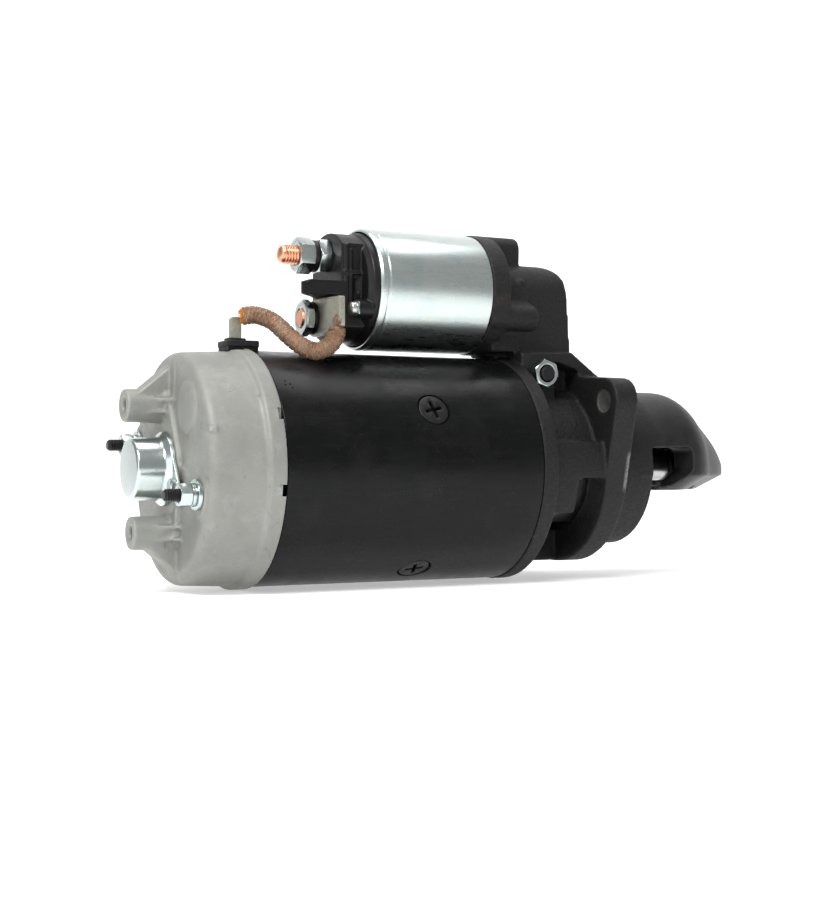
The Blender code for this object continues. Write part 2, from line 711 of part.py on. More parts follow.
def housing_bearings():
    bearing = turned(
        [
            (YOKE_END_X - 4.6, 51.6),
            (YOKE_END_X - 0.4, 51.6),
            (YOKE_END_X - 0.4, 14),
            (-51.5, 14),
            (-51.5, 8.95),
            (-66.0, 8.95),
            (-66.0, 14),
            (YOKE_END_X - 4.6, 17),
        ],
        FINE,
    )
    holes = [rod("X", polar(BOLT_CIRCLE_R, a), 3.6, -70, -50, HOLE) for a in BOLT_ANGLES]
    part("intermediate_bearing", CAST_ALLOY, combine(bearing, cuts=holes))
    part("nose_bush", BRONZE, tube(71, 85.6, 8.45, 6.3, COARSE))


# ---------------------------------------------------------------- drive and lever


def tooth_outline():
    """Section of the pinion: tapered teeth on a root circle."""
    points = []
    pitch = 360 / TEETH
    flank = (PINION_R + PINION_ROOT_R) / 2
    for i in range(TEETH):
        middle = pitch * i
        points += [polar(PINION_ROOT_R, middle - pitch * 0.34), polar(flank, middle - pitch * 0.27)]
        points += arc(0, 0, PINION_R, middle - pitch * 0.13, middle + pitch * 0.13, 2)
        points += [polar(flank, middle + pitch * 0.27), polar(PINION_ROOT_R, middle + pitch * 0.34)]
    return points


def drive(axis):
    bore = SHAFT_R + 0.35
    collar = GROOVE_X[0] - 2.6
    sleeve = turned(
        [
            (collar, 15.2),
            (GROOVE_X[0], 15.2),
            (GROOVE_X[0], 11.2),
            (GROOVE_X[1], 11.2),
            (GROOVE_X[1], 15.2),
            (GROOVE_X[1] + 2.6, 15.2),
            (GROOVE_X[1] + 2.6, 12.4),
            (-10.5, 12.4),
            (-10.5, bore),
            (collar, bore),
        ],
        COARSE,
    )
    part("drive_sleeve", STEEL, sleeve, axis)
    part("meshing_spring", STEEL, spring(-35.8, -27.6, 15.2, 1.15, 2.5), axis)
    clutch = turned(
        [
            (-26.8, 18),
            (-25.8, CLUTCH_R - 2),
            (-23.8, CLUTCH_R),
            (12.5, CLUTCH_R),
            (14.5, CLUTCH_R - 2),
            (14.5, 15.2),
            (11.5, 15.2),
            (11.5, 17.2),
            (-9.0, 17.2),
            (-9.0, 12.8),
            (-26.8, 12.8),
        ],
        MEDIUM,
    )
    part("clutch_housing", STEEL, clutch, axis)
    gear = prism(turned_outline(tooth_outline(), -90), "X", *PINION_X, holes=[circle(0, 0, bore)])
    neck = tube(-8.0, PINION_X[0] + 1, 12.4, bore + 0.05, COARSE)
    race = tube(-8.0, 10.8, 16.4, bore + 0.1, COARSE)
    chamfer = turned([(PINION_X[1] - 2.0, 21.5), (PINION_X[1] + 1, 21.5), (PINION_X[1] + 1, 15.5)], MEDIUM)
    part("pinion", STEEL, combine(gear, [neck, race], [chamfer]), axis)
    part("shaft_stop_ring", STEEL, tube(58.6, 63.0, 9.6, bore, COARSE))


def spring(x0, x1, radius, wire, turns, z=0.0, sides=0):
    """A compression spring along X as one bent wire."""
    curve = bpy.data.curves.new("spring", "CURVE")
    curve.dimensions = "3D"
    curve.bevel_depth = wire * MM
    curve.bevel_resolution = sides
    curve.use_fill_caps = True
    count = int(turns * 10)
    line = curve.splines.new("POLY")
    line.points.add(count)
    for i, point in enumerate(line.points):
        a = math.tau * turns * i / count
        x = x0 + wire + (x1 - x0 - 2 * wire) * i / count
        point.co = (x * MM, radius * math.cos(a) * MM, (z + radius * math.sin(a)) * MM, 1)
    return baked(new_object("spring", curve))


def lever(pivot):
    """A forged lever: eye on the pivot, a round tip up in the plunger, a fork down round the sleeve."""
    neck = circle(-32.2, 76, 2.8, 12)
    arm = prism(hull(circle(PIVOT_X, PIVOT_Z, 8.0), neck), "Y", -3.4, 3.4)
    tip = prism(hull(neck, circle(LEVER_TIP_X, SOL_Z, 3.7, 12)), "Y", -3.2, 3.2)
    eye = rod("Y", (PIVOT_X, PIVOT_Z), 8.2, -6.6, 6.6)
    lower = hull(circle(PIVOT_X, PIVOT_Z, 7.0), circle(-39.0, 24, 5.0, 16))
    stem = prism(lower, "Y", -5.5, 5.5)
    yoke_y = [(-20.5, 16.6), (20.5, 16.6), (20.5, 22.5), (12.5, 27.6), (-12.5, 27.6), (-20.5, 22.5)]
    bridge = prism(yoke_y, "X", -42.5, -35.5)
    prongs, pads = [], []
    for side in (1, -1):
        shape = hull(circle(LEVER_FOOT_X, 0, 3.8, 12), circle(-39.0, 22, 4.0, 12))
        ends = sorted((16.6 * side, 20.4 * side))
        prongs.append(prism(shape, "Y", *ends))
        ends = sorted((11.9 * side, 17.4 * side))
        pads.append(rod("Y", (LEVER_FOOT_X, 0), 3.6, *ends, 12))
    hole = rod("Y", (PIVOT_X, PIVOT_Z), 4.35, -10, 10, HOLE)
    part("engagement_lever", STEEL, combine(arm, [tip, eye, stem, bridge, *prongs, *pads], [hole]), pivot)


def lever_pivot():
    shank = rod("Y", (PIVOT_X, PIVOT_Z), 3.95, -SHOULDER_Y - 7.2, SHOULDER_Y + 1, HOLE)
    head = rod("Y", (PIVOT_X, PIVOT_Z), 7.5, SHOULDER_Y + GAP, SHOULDER_Y + 5.5, 6)
    part("lever_pivot_bolt", BLACK_PAINT, combine(shank, [head]))
    nut = rod("Y", (PIVOT_X, PIVOT_Z), 7.5, -SHOULDER_Y - 6.0, -SHOULDER_Y - GAP, 6, twist=10)
    hole = rod("Y", (PIVOT_X, PIVOT_Z), 4.25, -SHOULDER_Y - 9, -SHOULDER_Y + 2, HOLE)
    part("lever_pivot_nut", ZINC, combine(nut, cuts=[hole]))


# ---------------------------------------------------------------- solenoid


def solenoid_body():
    x0, x1 = CAN_X
    can = turned(
        [
            (x0, 29.2),
            (x0, 30.0),
            (x0 + 1.0, SOL_R),
            (x1, SOL_R),
            (x1, 11.9),
            (x1 - 4, 11.9),
            (x1 - 4, 29.7),
            (x0 + 1.3, 29.7),
            (x0 + 1.3, 29.2),
        ],
        FINE,
        SOL_Z,
    )
    threads = []
    for angle in SCREW_ANGLES:
        y, z = polar(SCREW_CIRCLE_R, angle)
        threads.append(rod("X", (y, z + SOL_Z), 2.9, x1 - 6, x1 + 2, 10))
    part("solenoid_can", ZINC, combine(can, cuts=threads))
    part("solenoid_coil", ENAMEL, tube(-122.8, x1 - 12.5, 28.8, 12.6, MEDIUM, SOL_Z))
    core = turned(
        [
            (-127.4, 3.2),
            (-127.4, 29.2),
            (-123.2, 29.2),
            (-123.2, 11.4),
            (-110.0, 11.4),
            (-110.0, 3.2),
        ],
        MEDIUM,
        SOL_Z,
    )
    part("solenoid_core", STEEL, core)
    for label, angle, end in zip("abc", SCREW_ANGLES, LUG_ENDS):
        y, z = polar(SCREW_CIRCLE_R, angle)
        shank = rod("X", (y, z + SOL_Z), 2.6, x1 - 3.4, end - 3, 10)
        head = rod("X", (y, z + SOL_Z), 3.7, end - 4.1, end - 0.6, HOLE)
        part(f"solenoid_screw_{label}", ZINC, combine(shank, [head]))


def solenoid_cap():
    """A moulded disc with a raised block for the studs, a shelf between them and a small terminal boss."""
    edge = [(-127.6, 0), (-127.6, 29.0), (-130.4, 29.0), (-130.4, 28.6), (-134.6, 28.0), (-137.0, 25.6), (-137.0, 0)]
    disc = turned(edge, MEDIUM, SOL_Z)
    drum = rod("X", (0, SOL_Z), 27.3, CAP_X, -136, MEDIUM)
    flats = box((CAP_X - 2, -18, 40), (-130, 18, 140))
    block = combine_now(drum, [flats], "INTERSECT")
    shelf_plan = [(-169.6, -19), (CAP_X + 2, -19), (CAP_X + 2, 5), (-152, 5), (-160, -6), (-168.2, -14.5)]
    shelf = prism(shelf_plan, "Z", 84.9, 92.2, bevel=0.6)
    boss = rod("X", (-22.4, 78.4), 4.6, -142.6, -134, HOLE)
    rear_room = rod("X", (0, SOL_Z), 23.5, -143.4, -134, MEDIUM)
    rear_room = combine_now(rear_room, [box((-145, -15.4, 40), (-130, 15.4, 140))], "INTERSECT")
    cuts = [rear_room, rod("X", (0, SOL_Z), 23.5, -136.6, -121, MEDIUM)]
    for z in (BATTERY_Z, MOTOR_Z):
        cuts.append(rod("X", (0, z), 5.4, -150, -140, HOLE))
    cuts.append(rod("X", (-22.4, 78.4), 1.6, -146, -138, 10))
    part("solenoid_cap", PHENOLIC, combine(disc, [block, shelf, boss], cuts))


def hex_nut(name, z, x0, x1, across_flats, twist, look=ZINC, washer=None):
    """A nut on a terminal stud, with its spring washer where it has one."""
    nut = rod("X", (0, z), across_flats / math.sqrt(3), x0, x1, 6, twist=twist)
    joins = []
    if washer:
        joins.append(rod("X", (0, z), 8.3, x1 - 0.3, x1 + washer))
    bore = rod("X", (0, z), 5.4, x0 - 2, x1 + 5, HOLE)
    part(name, look, combine(nut, joins, [bore]))


def terminals():
    for name, z, tip in (("battery_stud", BATTERY_Z, -174.1), ("motor_stud", MOTOR_Z, -162.6)):
        shank = [(tip, 0), (tip, 3.6), (tip + 2.2, 4.9), (-142.7, 4.9)]
        head = [(-142.7, 7.2), (-139.9, 7.2), (-139.9, 0)]
        part(name, COPPER, turned(shank + head, COARSE, z))
    hex_nut("battery_nut", BATTERY_Z, -165.1, -156.7, 16.0, 0, washer=2.2)
    hex_nut("battery_stud_locknut", BATTERY_Z, -154.2, CAP_X - GAP, 16.0, 30)
    hex_nut("motor_nut", MOTOR_Z, -162.0, -157.4, 16.0, 12, washer=2.0)
    y, z = -22.4, 78.4
    head = prism(circle(y, z, 3.5, HOLE), "X", -146.2, -142.9, bevel=0.9)
    shank = rod("X", (y, z), 1.3, -143.6, -138.6, 10)
    part("control_terminal_screw", STEEL, combine(head, [shank]))


def lead():
    """Lug on the motor stud and the braided lead down to the field terminal."""
    eye = circle(0, MOTOR_Z, 9.2)
    tab = [(-30.8, 70.8), (-30.8, 83.4), (-12, 84.0), (-12, 66.2)]
    plate = prism(hull(eye, tab), "X", *LUG_X, holes=[circle(0, MOTOR_Z, 5.4, HOLE)])
    spacer = tube(LUG_X[1] - 0.4, CAP_X - GAP, 8.6, 5.3, COARSE, MOTOR_Z)
    part("cable_lug", TINNED, combine(plate, [spacer]))
    curve = bpy.data.curves.new("lead", "CURVE")
    curve.dimensions = "3D"
    curve.bevel_depth = 4.4 * MM
    curve.bevel_resolution = 2
    curve.use_fill_caps = True
    path = smooth_path(LEAD_ROUTE, 3)
    line = curve.splines.new("POLY")
    line.points.add(len(path) - 1)
    for point, place in zip(line.points, path):
        point.co = (*[v * MM for v in place], 1)
    part("braided_lead", BRAID, baked(new_object("lead", curve)))


# Route of the lead's centre line, from the terminal strip round to the lug
LEAD_ROUTE = (
    (-195.0, -5.9, 73.8),
    (-188.1, -6.8, 74.4),
    (-180.7, -10.0, 71.2),
    (-174.3, -15.5, 63.8),
    (-169.9, -22.3, 58.4),
    (-164.9, -26.0, 56.6),
    (-159.0, -28.5, 59.4),
    (-156.0, -29.0, 64.6),
    (-155.4, -28.7, 67.9),
)


def smooth_path(points, parts_each):
    """Catmull-Rom points through the route."""
    knots = [Vector(p) for p in points]
    knots = [2 * knots[0] - knots[1], *knots, 2 * knots[-1] - knots[-2]]
    out = []
    for a, b, c, d in zip(knots, knots[1:], knots[2:], knots[3:]):
        for i in range(parts_each):
            t = i / parts_each
            squared = (2 * a - 5 * b + 4 * c - d) * t**2
            cubed = (3 * b - a - 3 * c + d) * t**3
            out.append(0.5 * (2 * b + (c - a) * t + squared + cubed))
    return [*out, knots[-2]]


def plunger(axis):
    body = turned(
        [
            (-97.5, 0),
            (-97.5, 11.2),
            (-50, 11.2),
            (-50, 8.2),
            (-22.5, 8.2),
            (-22.5, 0),
        ],
        COARSE,
        SOL_Z,
    )
    slot = box((LEVER_TIP_X - 4.9, -4.2, SOL_Z - 20), (LEVER_TIP_X + 4.9, 4.2, SOL_Z + 20))
    part("solenoid_plunger", STEEL, combine(body, cuts=[slot]), axis)
    part("plunger_return_spring", STEEL, spring(-109.6, -97.9, 8.6, 0.9, 3.5, SOL_Z), axis)


def contact_bridge(axis):
    plate = rod("X", (0, SOL_Z), 21.5, -136.2, -133.6)
    sides = box((-140, -8, 40), (-130, 8, 140))
    plate = combine_now(plate, [sides], "INTERSECT")
    stem = rod("X", (0, SOL_Z), 2.7, -136, -111, HOLE)
    part("contact_bridge", COPPER, combine(plate, [stem]), axis)


# ---------------------------------------------------------------- build

for old in list(bpy.data.objects):
    bpy.data.objects.remove(old)
parts = bpy.data.collections.new("starter_motor")
helpers = bpy.data.collections.new("cutters")
for group in (parts, helpers):
    bpy.context.scene.collection.children.link(group)

motor_axis = empty("armature_axis", -126, 0, 0)
drive_axis = empty("drive_axis", 0, 0, 0)
pinion_axis = empty("pinion_axis", 28, 0, 0)
lever_axis = empty("lever_axis", PIVOT_X, 0, PIVOT_Z)
plunger_axis = empty("plunger_axis", -100, 0, SOL_Z)
contact_axis = empty("contact_axis", -135, 0, SOL_Z)
brush_axes = [empty(f"brush_axis_{i}", -200, *polar(22, a)) for i, a in enumerate(POLE_ANGLES, 1)]

commutator_end()
bearing_cap()
through_bolts()
yoke()
field()
terminal()
armature(motor_axis)
brush_gear(brush_axes)
drive_end_housing()
housing_bearings()
drive(drive_axis)
lever(lever_axis)
lever_pivot()
solenoid_body()
solenoid_cap()
terminals()
lead()
plunger(plunger_axis)
contact_bridge(contact_axis)
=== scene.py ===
"""Visual model of a pre-engaged starter motor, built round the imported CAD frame.

Helpers take millimetres. +X runs along the motor axis towards the pinion, +Z towards the solenoid.
"""

import json
import math
import random

import bmesh
import bpy
from mathutils import Matrix, Vector, noise


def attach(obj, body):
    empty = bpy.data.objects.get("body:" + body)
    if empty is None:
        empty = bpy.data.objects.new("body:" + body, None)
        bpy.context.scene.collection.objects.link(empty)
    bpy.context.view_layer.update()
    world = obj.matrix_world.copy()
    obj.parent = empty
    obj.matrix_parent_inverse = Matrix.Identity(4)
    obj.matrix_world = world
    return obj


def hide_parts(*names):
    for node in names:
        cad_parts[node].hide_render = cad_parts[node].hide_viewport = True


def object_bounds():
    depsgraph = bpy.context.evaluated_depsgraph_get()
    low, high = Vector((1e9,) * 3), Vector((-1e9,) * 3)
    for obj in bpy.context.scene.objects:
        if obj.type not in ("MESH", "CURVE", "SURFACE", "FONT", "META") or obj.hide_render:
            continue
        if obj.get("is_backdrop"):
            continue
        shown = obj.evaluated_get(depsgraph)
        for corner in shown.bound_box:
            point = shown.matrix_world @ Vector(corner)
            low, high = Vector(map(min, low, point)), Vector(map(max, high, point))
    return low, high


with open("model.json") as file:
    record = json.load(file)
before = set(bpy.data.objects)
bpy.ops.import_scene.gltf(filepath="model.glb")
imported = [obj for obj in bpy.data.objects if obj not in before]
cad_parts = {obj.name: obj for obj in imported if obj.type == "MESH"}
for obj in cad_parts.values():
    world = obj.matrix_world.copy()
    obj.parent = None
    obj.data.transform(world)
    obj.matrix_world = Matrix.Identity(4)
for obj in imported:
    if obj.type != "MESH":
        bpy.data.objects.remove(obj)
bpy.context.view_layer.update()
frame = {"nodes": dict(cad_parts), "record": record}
nodes = frame["nodes"]
MM = 0.001

# Stations and radii of the real parts
SHIELD_X, SEAM_X, YOKE_END_X, RING_END_X, FLANGE_REAR_X = -229.7, -193.0, -55.6, -47.0, -13.5
PILOT_END_X, NOSE_X = 23.0, 99.2
YOKE_R, YOKE_BORE, RIM_R = 57.5, 52.0, 58.6
POLE_ANGLES, POLE_SCREW_X = (60, 150, 240, 330), -113.5
BOLT_ANGLES, BOLT_CIRCLE_R = (15, 195), 45.0
BOSSES = ((5.0, 30.0), (-5.0, -30.0))
TEETH, PINION_R, PINION_ROOT_R = 9, 18.7, 12.6
PINION_X = (16.5, 39.0)
SHAFT_R = 7.0
PIVOT_X, PIVOT_Z, SHOULDER_Y, TOWER_R = -36.3, 49.0, 24.0, 17.6
SOL_Z, SOL_R, CAN_X = 90.35, 30.8, (-132.0, -69.0)
SCREW_CIRCLE_R, SCREW_ANGLES = 25.0, (90, 210, 330)
BATTERY_Z, MOTOR_Z, CAP_X = 105.85, 74.85, -147.7
EAR_ANGLES, EAR_CIRCLE_R, EAR_R, EAR_HOLE_R = (143.8, 323.8), 58.6, 12.0, 5.75
DRUM_R, DRUM_TOP, CAVITY_R, PILOT_R, NOSE_BOTTOM = 50.0, 14.0, 33.0, 41.25, -12.0
LUG_X = (-155.0, -152.0)
LUG_ENDS = (-38.5, -40.0, -40.2)
CLUTCH_R = 29.0
CUP_BASE_X = SHIELD_X - 2.9
DOME_SCREW = (-22.4, 78.4)
# Where the hood starts to draw in below its crease, and by how much for each millimetre down
HOOD_X, CREASE_Z, DRAW_IN = 15.0, -4.0, 0.028


# ---------------------------------------------------------------- outlines


def polar(radius, angle):
    return radius * math.cos(math.radians(angle)), radius * math.sin(math.radians(angle))


def arc(ca, cb, radius, start, end, count):
    steps = [math.radians(start + (end - start) * i / count) for i in range(count + 1)]
    return [(ca + radius * math.cos(a), cb + radius * math.sin(a)) for a in steps]


def circle(ca, cb, radius, count=64):
    return arc(ca, cb, radius, 0, 360, count)[:-1]


def turn(a, b, c):
    return (b[0] - a[0]) * (c[1] - a[1]) - (b[1] - a[1]) * (c[0] - a[0])


def hull(*groups):
    points = sorted({(round(a, 4), round(b, 4)) for group in groups for a, b in group})

    def chain(ordered):
        out = []
        for p in ordered:
            while len(out) > 1 and turn(out[-2], out[-1], p) <= 0:
                out.pop()
            out.append(p)
        return out[:-1]

    return chain(points) + chain(points[::-1])


def filleted(points, closed=True, steps=4):
    """Rounds each corner given as (a, b, radius)."""
    out = []
    count = len(points)
    for i, point in enumerate(points):
        here = Vector(point[:2])
        radius = point[2] if len(point) > 2 else 0
        if radius <= 0 or (not closed and i in (0, count - 1)):
            out.append(tuple(here))
            continue
        before = Vector(points[i - 1][:2]) - here
        after = Vector(points[(i + 1) % count][:2]) - here
        half = before.angle(after) / 2
        reach = min(radius / math.tan(half), before.length * 0.49, after.length * 0.49)
        radius = reach * math.tan(half)
        before.normalize()
        after.normalize()
        centre = here + (before + after).normalized() * (radius / math.sin(half))
        first, last = here + before * reach - centre, here + after * reach - centre
        start = math.atan2(first.y, first.x)
        sweep = (math.atan2(last.y, last.x) - start + math.pi) % math.tau - math.pi
        for k in range(steps + 1):
            a = start + sweep * k / steps
            out.append((centre.x + radius * math.cos(a), centre.y + radius * math.sin(a)))
    return out


def rounded(a0, b0, a1, b1, radius):
    """A rectangle with round corners."""
    return filleted([(a0, b0, radius), (a1, b0, radius), (a1, b1, radius), (a0, b1, radius)])


def shifted(start, points):
    """Moves the first coordinate of each point along by start."""
    return [(start + a, *rest) for a, *rest in points]


def turned_outline(points, angle):
    c, s = polar(1.0, angle)
    return [(a * c - b * s, a * s + b * c) for a, b in points]


# ---------------------------------------------------------------- meshes

workshop = bpy.data.collections.new("pieces")
bpy.context.scene.collection.children.link(workshop)


def new_object(name, mesh):
    obj = bpy.data.objects.new(name, mesh)
    workshop.objects.link(obj)
    return obj


def raw_faces(name, verts, faces):
    """Verts in millimetres, faces left as they are given."""
    mesh = bpy.data.meshes.new(name)
    mesh.from_pydata([tuple(c * MM for c in v) for v in verts], [], faces)
    return new_object(name, mesh)


def from_faces(name, verts, faces):
    return outward(raw_faces(name, verts, faces))


def outward(obj):
    work = bmesh.new()
    work.from_mesh(obj.data)
    bmesh.ops.remove_doubles(work, verts=work.verts, dist=1e-6)
    bmesh.ops.recalc_face_normals(work, faces=work.faces)
    if work.calc_volume(signed=True) < 0:
        bmesh.ops.reverse_faces(work, faces=work.faces)
    work.to_mesh(obj.data)
    work.free()
    return obj


def baked(obj):
    """The object with its modifiers or its curve as one mesh in the row frame."""
    bpy.context.view_layer.update()
    graph = bpy.context.evaluated_depsgraph_get()
    mesh = bpy.data.meshes.new_from_object(obj.evaluated_get(graph))
    name, place = obj.name, obj.matrix_world.copy()
    bpy.data.objects.remove(obj)
    mesh.transform(place)
    return outward(new_object(name, mesh))


def bridged(rings, around, begin=0):
    """Quads between one closed ring of verts and the next."""
    quads = []
    for i in range(rings - 1):
        near, far = begin + i * around, begin + (i + 1) * around
        for k in range(around):
            j = (k + 1) % around
            quads.append((near + k, near + j, far + j, far + k))
    return quads


def lathe(profile, steps=128, z=0.0, y=0.0):
    """(x, radius) points turned about X. An open profile starts and ends on the axis."""
    open_ends = profile[0][1] < 1e-6
    verts, rings = [], []
    for x, radius in profile:
        if radius < 1e-6:
            rings.append([len(verts)] * steps)
            verts.append((x, y, z))
            continue
        rings.append(list(range(len(verts), len(verts) + steps)))
        for k in range(steps):
            a = math.tau * k / steps
            verts.append((x, y + radius * math.cos(a), z + radius * math.sin(a)))
    pairs = list(zip(rings, rings[1:]))
    if not open_ends:
        pairs.append((rings[-1], rings[0]))
    faces = []
    for near, far in pairs:
        for k in range(steps):
            j = (k + 1) % steps
            face = list(dict.fromkeys((near[k], near[j], far[j], far[k])))
            if len(face) > 2:
                faces.append(face)
    return from_faces("lathe", verts, faces)


def tube(x0, x1, outer, inner, steps=96, z=0.0, y=0.0, soft=0.0):
    ring = [(x0, outer, soft), (x1, outer, soft), (x1, inner, soft), (x0, inner, soft)]
    return lathe(filleted(ring), steps, z, y)


SWAP_XY = Matrix(((0, 1, 0, 0), (1, 0, 0, 0), (0, 0, 1, 0), (0, 0, 0, 1)))
SWAP_XZ = Matrix(((0, 0, 1, 0), (0, 1, 0, 0), (1, 0, 0, 0), (0, 0, 0, 1)))
# From a flat outline's own plane to the plane across each axis
PLANES = {
    "X": Matrix(((0, 0, 1, 0), (1, 0, 0, 0), (0, 1, 0, 0), (0, 0, 0, 1))),
    "Y": Matrix(((1, 0, 0, 0), (0, 0, 1, 0), (0, 1, 0, 0), (0, 0, 0, 1))),
    "Z": Matrix.Identity(4),
}


def prism(outline, axis, low, high, bevel=0.0, holes=(), bevel_steps=2):
    """A flat outline as thick as low to high, with rounded edges."""
    curve = bpy.data.curves.new("prism", "CURVE")
    curve.dimensions = "2D"
    curve.fill_mode = "BOTH"
    curve.extrude = ((high - low) / 2 - bevel) * MM
    curve.bevel_depth = bevel * MM
    curve.bevel_resolution = bevel_steps
    curve.offset = -bevel * MM
    for ring in (outline, *holes):
        spline = curve.splines.new("POLY")
        spline.points.add(len(ring) - 1)
        for point, (a, b) in zip(spline.points, ring):
            point.co = (a * MM, b * MM, 0, 1)
        spline.use_cyclic_u = True
    obj = new_object("prism", curve)
    middle = Vector([(low + high) / 2 * MM if name == axis else 0 for name in "XYZ"])
    obj.matrix_world = Matrix.Translation(middle) @ PLANES[axis]
    return baked(obj)


def box(low, high):
    (x0, y0, z0), (x1, y1, z1) = low, high
    verts = [(x, y, z) for x in (x0, x1) for y in (y0, y1) for z in (z0, z1)]
    faces = [(0, 1, 3, 2), (4, 6, 7, 5), (0, 4, 5, 1), (2, 3, 7, 6), (0, 2, 6, 4), (1, 5, 7, 3)]
    return from_faces("box", verts, faces)


def rod(axis, centre, radius, low, high, sides=64, end_radius=None):
    """A cylinder or frustum along an axis, with centre the two other coordinates."""
    end = radius if end_radius is None else end_radius
    obj = lathe([(low, 0), (low, radius), (high, end), (high, 0)], sides)
    swap = {"X": Matrix.Identity(4), "Y": SWAP_XY, "Z": SWAP_XZ}[axis]
    places = {"X": (0, *centre), "Y": (centre[0], 0, centre[1]), "Z": (*centre, 0)}
    obj.data.transform(Matrix.Translation([c * MM for c in places[axis]]) @ swap)
    return outward(obj)


def spun(obj, angle):
    """Turned about the motor's axis from straight up to this angle."""
    obj.data.transform(Matrix.Rotation(math.radians(angle - 90), 4, "X"))
    return obj


def combined(base, joins=(), cuts=(), operation=None):
    """Joins and cuts at once. An operation, where one is given, stands for all of them."""
    work = [("UNION", o) for o in joins] + [("DIFFERENCE", o) for o in cuts]
    for kind, other in work:
        modifier = base.modifiers.new("Boolean", "BOOLEAN")
        modifier.operation = operation or kind
        modifier.object = other
        modifier.solver = "MANIFOLD"
    solid = baked(base)
    for _, other in work:
        bpy.data.objects.remove(other)
    return solid


def joined(objects, name="joined"):
    """Several meshes as one object, without a Boolean."""
    work = bmesh.new()
    for obj in objects:
        work.from_mesh(obj.data)
        bpy.data.objects.remove(obj)
    mesh = bpy.data.meshes.new(name)
    work.to_mesh(mesh)
    work.free()
    return new_object(name, mesh)


def cast(obj, voxel, smooth, keep):
    """Rounds a sharp solid into a casting: fine voxels, relaxed, then thinned."""
    remesh = obj.modifiers.new("Voxels", "REMESH")
    remesh.mode = "VOXEL"
    remesh.voxel_size = voxel * MM
    relax = obj.modifiers.new("Relax", "SMOOTH")
    relax.factor = 0.5
    relax.iterations = smooth
    thin = obj.modifiers.new("Thin", "DECIMATE")
    thin.ratio = keep
    return baked(obj)


# ---------------------------------------------------------------- materials


class Look:
    """Builds one procedural material step by step."""

    def __init__(self, name, colour, roughness, metallic=0.0, specular=0.5):
        self.material = bpy.data.materials.new(name)
        self.material.use_nodes = True
        self.tree = self.material.node_tree
        self.surface = self.tree.nodes["Principled BSDF"]
        self.surface.inputs["Metallic"].default_value = metallic
        self.surface.inputs["Specular IOR Level"].default_value = specular
        self.space = self.tree.nodes.new("ShaderNodeTexCoord").outputs["Object"]
        self.colour = self.constant((*colour, 1))
        self.roughness = self.number(roughness)
        self.height = None

    def node(self, kind, **settings):
        made = self.tree.nodes.new(kind)
        for key, value in settings.items():
            setattr(made, key, value)
        return made

    def link(self, source, target):
        self.tree.links.new(source, target)

    def constant(self, colour):
        made = self.node("ShaderNodeRGB")
        made.outputs[0].default_value = colour
        return made.outputs[0]

    def number(self, value):
        made = self.node("ShaderNodeValue")
        made.outputs[0].default_value = value
        return made.outputs[0]

    def stretched(self, scale, place=(0, 0, 0)):
        made = self.node("ShaderNodeMapping")
        made.inputs["Scale"].default_value = scale
        made.inputs["Location"].default_value = place
        self.link(self.space, made.inputs["Vector"])
        return made.outputs[0]

    def noise(self, size, detail=4, rough=0.6, stretch=(1, 1, 1), place=(0, 0, 0)):
        """Noise whose features are about this many millimetres across."""
        made = self.node("ShaderNodeTexNoise")
        made.inputs["Scale"].default_value = 1000 / size
        made.inputs["Detail"].default_value = detail
        made.inputs["Roughness"].default_value = rough
        self.link(self.stretched(stretch, place), made.inputs["Vector"])
        return made.outputs["Fac"]

    def ramp(self, source, low, high, to_low=0.0, to_high=1.0):
        """Maps low..high to to_low..to_high, held outside."""
        made = self.node("ShaderNodeMapRange")
        for name, value in (("From Min", low), ("From Max", high), ("To Min", to_low), ("To Max", to_high)):
            made.inputs[name].default_value = value
        self.link(source, made.inputs["Value"])
        return made.outputs["Result"]

    def math(self, operation, a, b=None):
        made = self.node("ShaderNodeMath", operation=operation)
        for socket, value in zip(made.inputs, (a, b)):
            if value is None:
                continue
            if isinstance(value, (int, float)):
                socket.default_value = value
            else:
                self.link(value, socket)
        return made.outputs[0]

    def times(self, a, b):
        return self.math("MULTIPLY", a, b)

    def cloud(self, size, low, high, detail=4, rough=0.6, stretch=(1, 1, 1), place=(0, 0, 0)):
        """Noise spread over the range low..high."""
        return self.ramp(self.noise(size, detail, rough, stretch, place), low, high)

    def edges(self, low, high):
        """1 on outside edges of a dense mesh."""
        return self.ramp(self.node("ShaderNodeNewGeometry").outputs["Pointiness"], low, high)

    def axis(self, name):
        """Object coordinate in millimetres."""
        split = self.node("ShaderNodeSeparateXYZ")
        self.link(self.space, split.inputs[0])
        return self.times(split.outputs[name], 1000.0)

    def tint(self, colour, where, amount):
        made = self.node("ShaderNodeMix", data_type="RGBA")
        self.link(self.times(where, amount), made.inputs["Factor"])
        self.link(self.colour, made.inputs["A"])
        made.inputs["B"].default_value = (*colour, 1)
        self.colour = made.outputs["Result"]
        return self

    def rough(self, value, where, amount=1.0):
        made = self.node("ShaderNodeMix", data_type="FLOAT")
        self.link(self.times(where, amount), made.inputs["Factor"])
        self.link(self.roughness, made.inputs["A"])
        made.inputs["B"].default_value = value
        self.roughness = made.outputs["Result"]
        return self

    def bump(self, source, depth):
        """Depth in millimetres."""
        piece = self.times(source, depth)
        self.height = piece if self.height is None else self.math("ADD", self.height, piece)
        return self

    def done(self):
        self.link(self.colour, self.surface.inputs["Base Color"])
        self.link(self.roughness, self.surface.inputs["Roughness"])
        if self.height is not None:
            bump = self.node("ShaderNodeBump")
            bump.inputs["Strength"].default_value = 1.0
            bump.inputs["Distance"].default_value = MM
            self.link(self.height, bump.inputs["Height"])
            self.link(bump.outputs["Normal"], self.surface.inputs["Normal"])
        return self.material


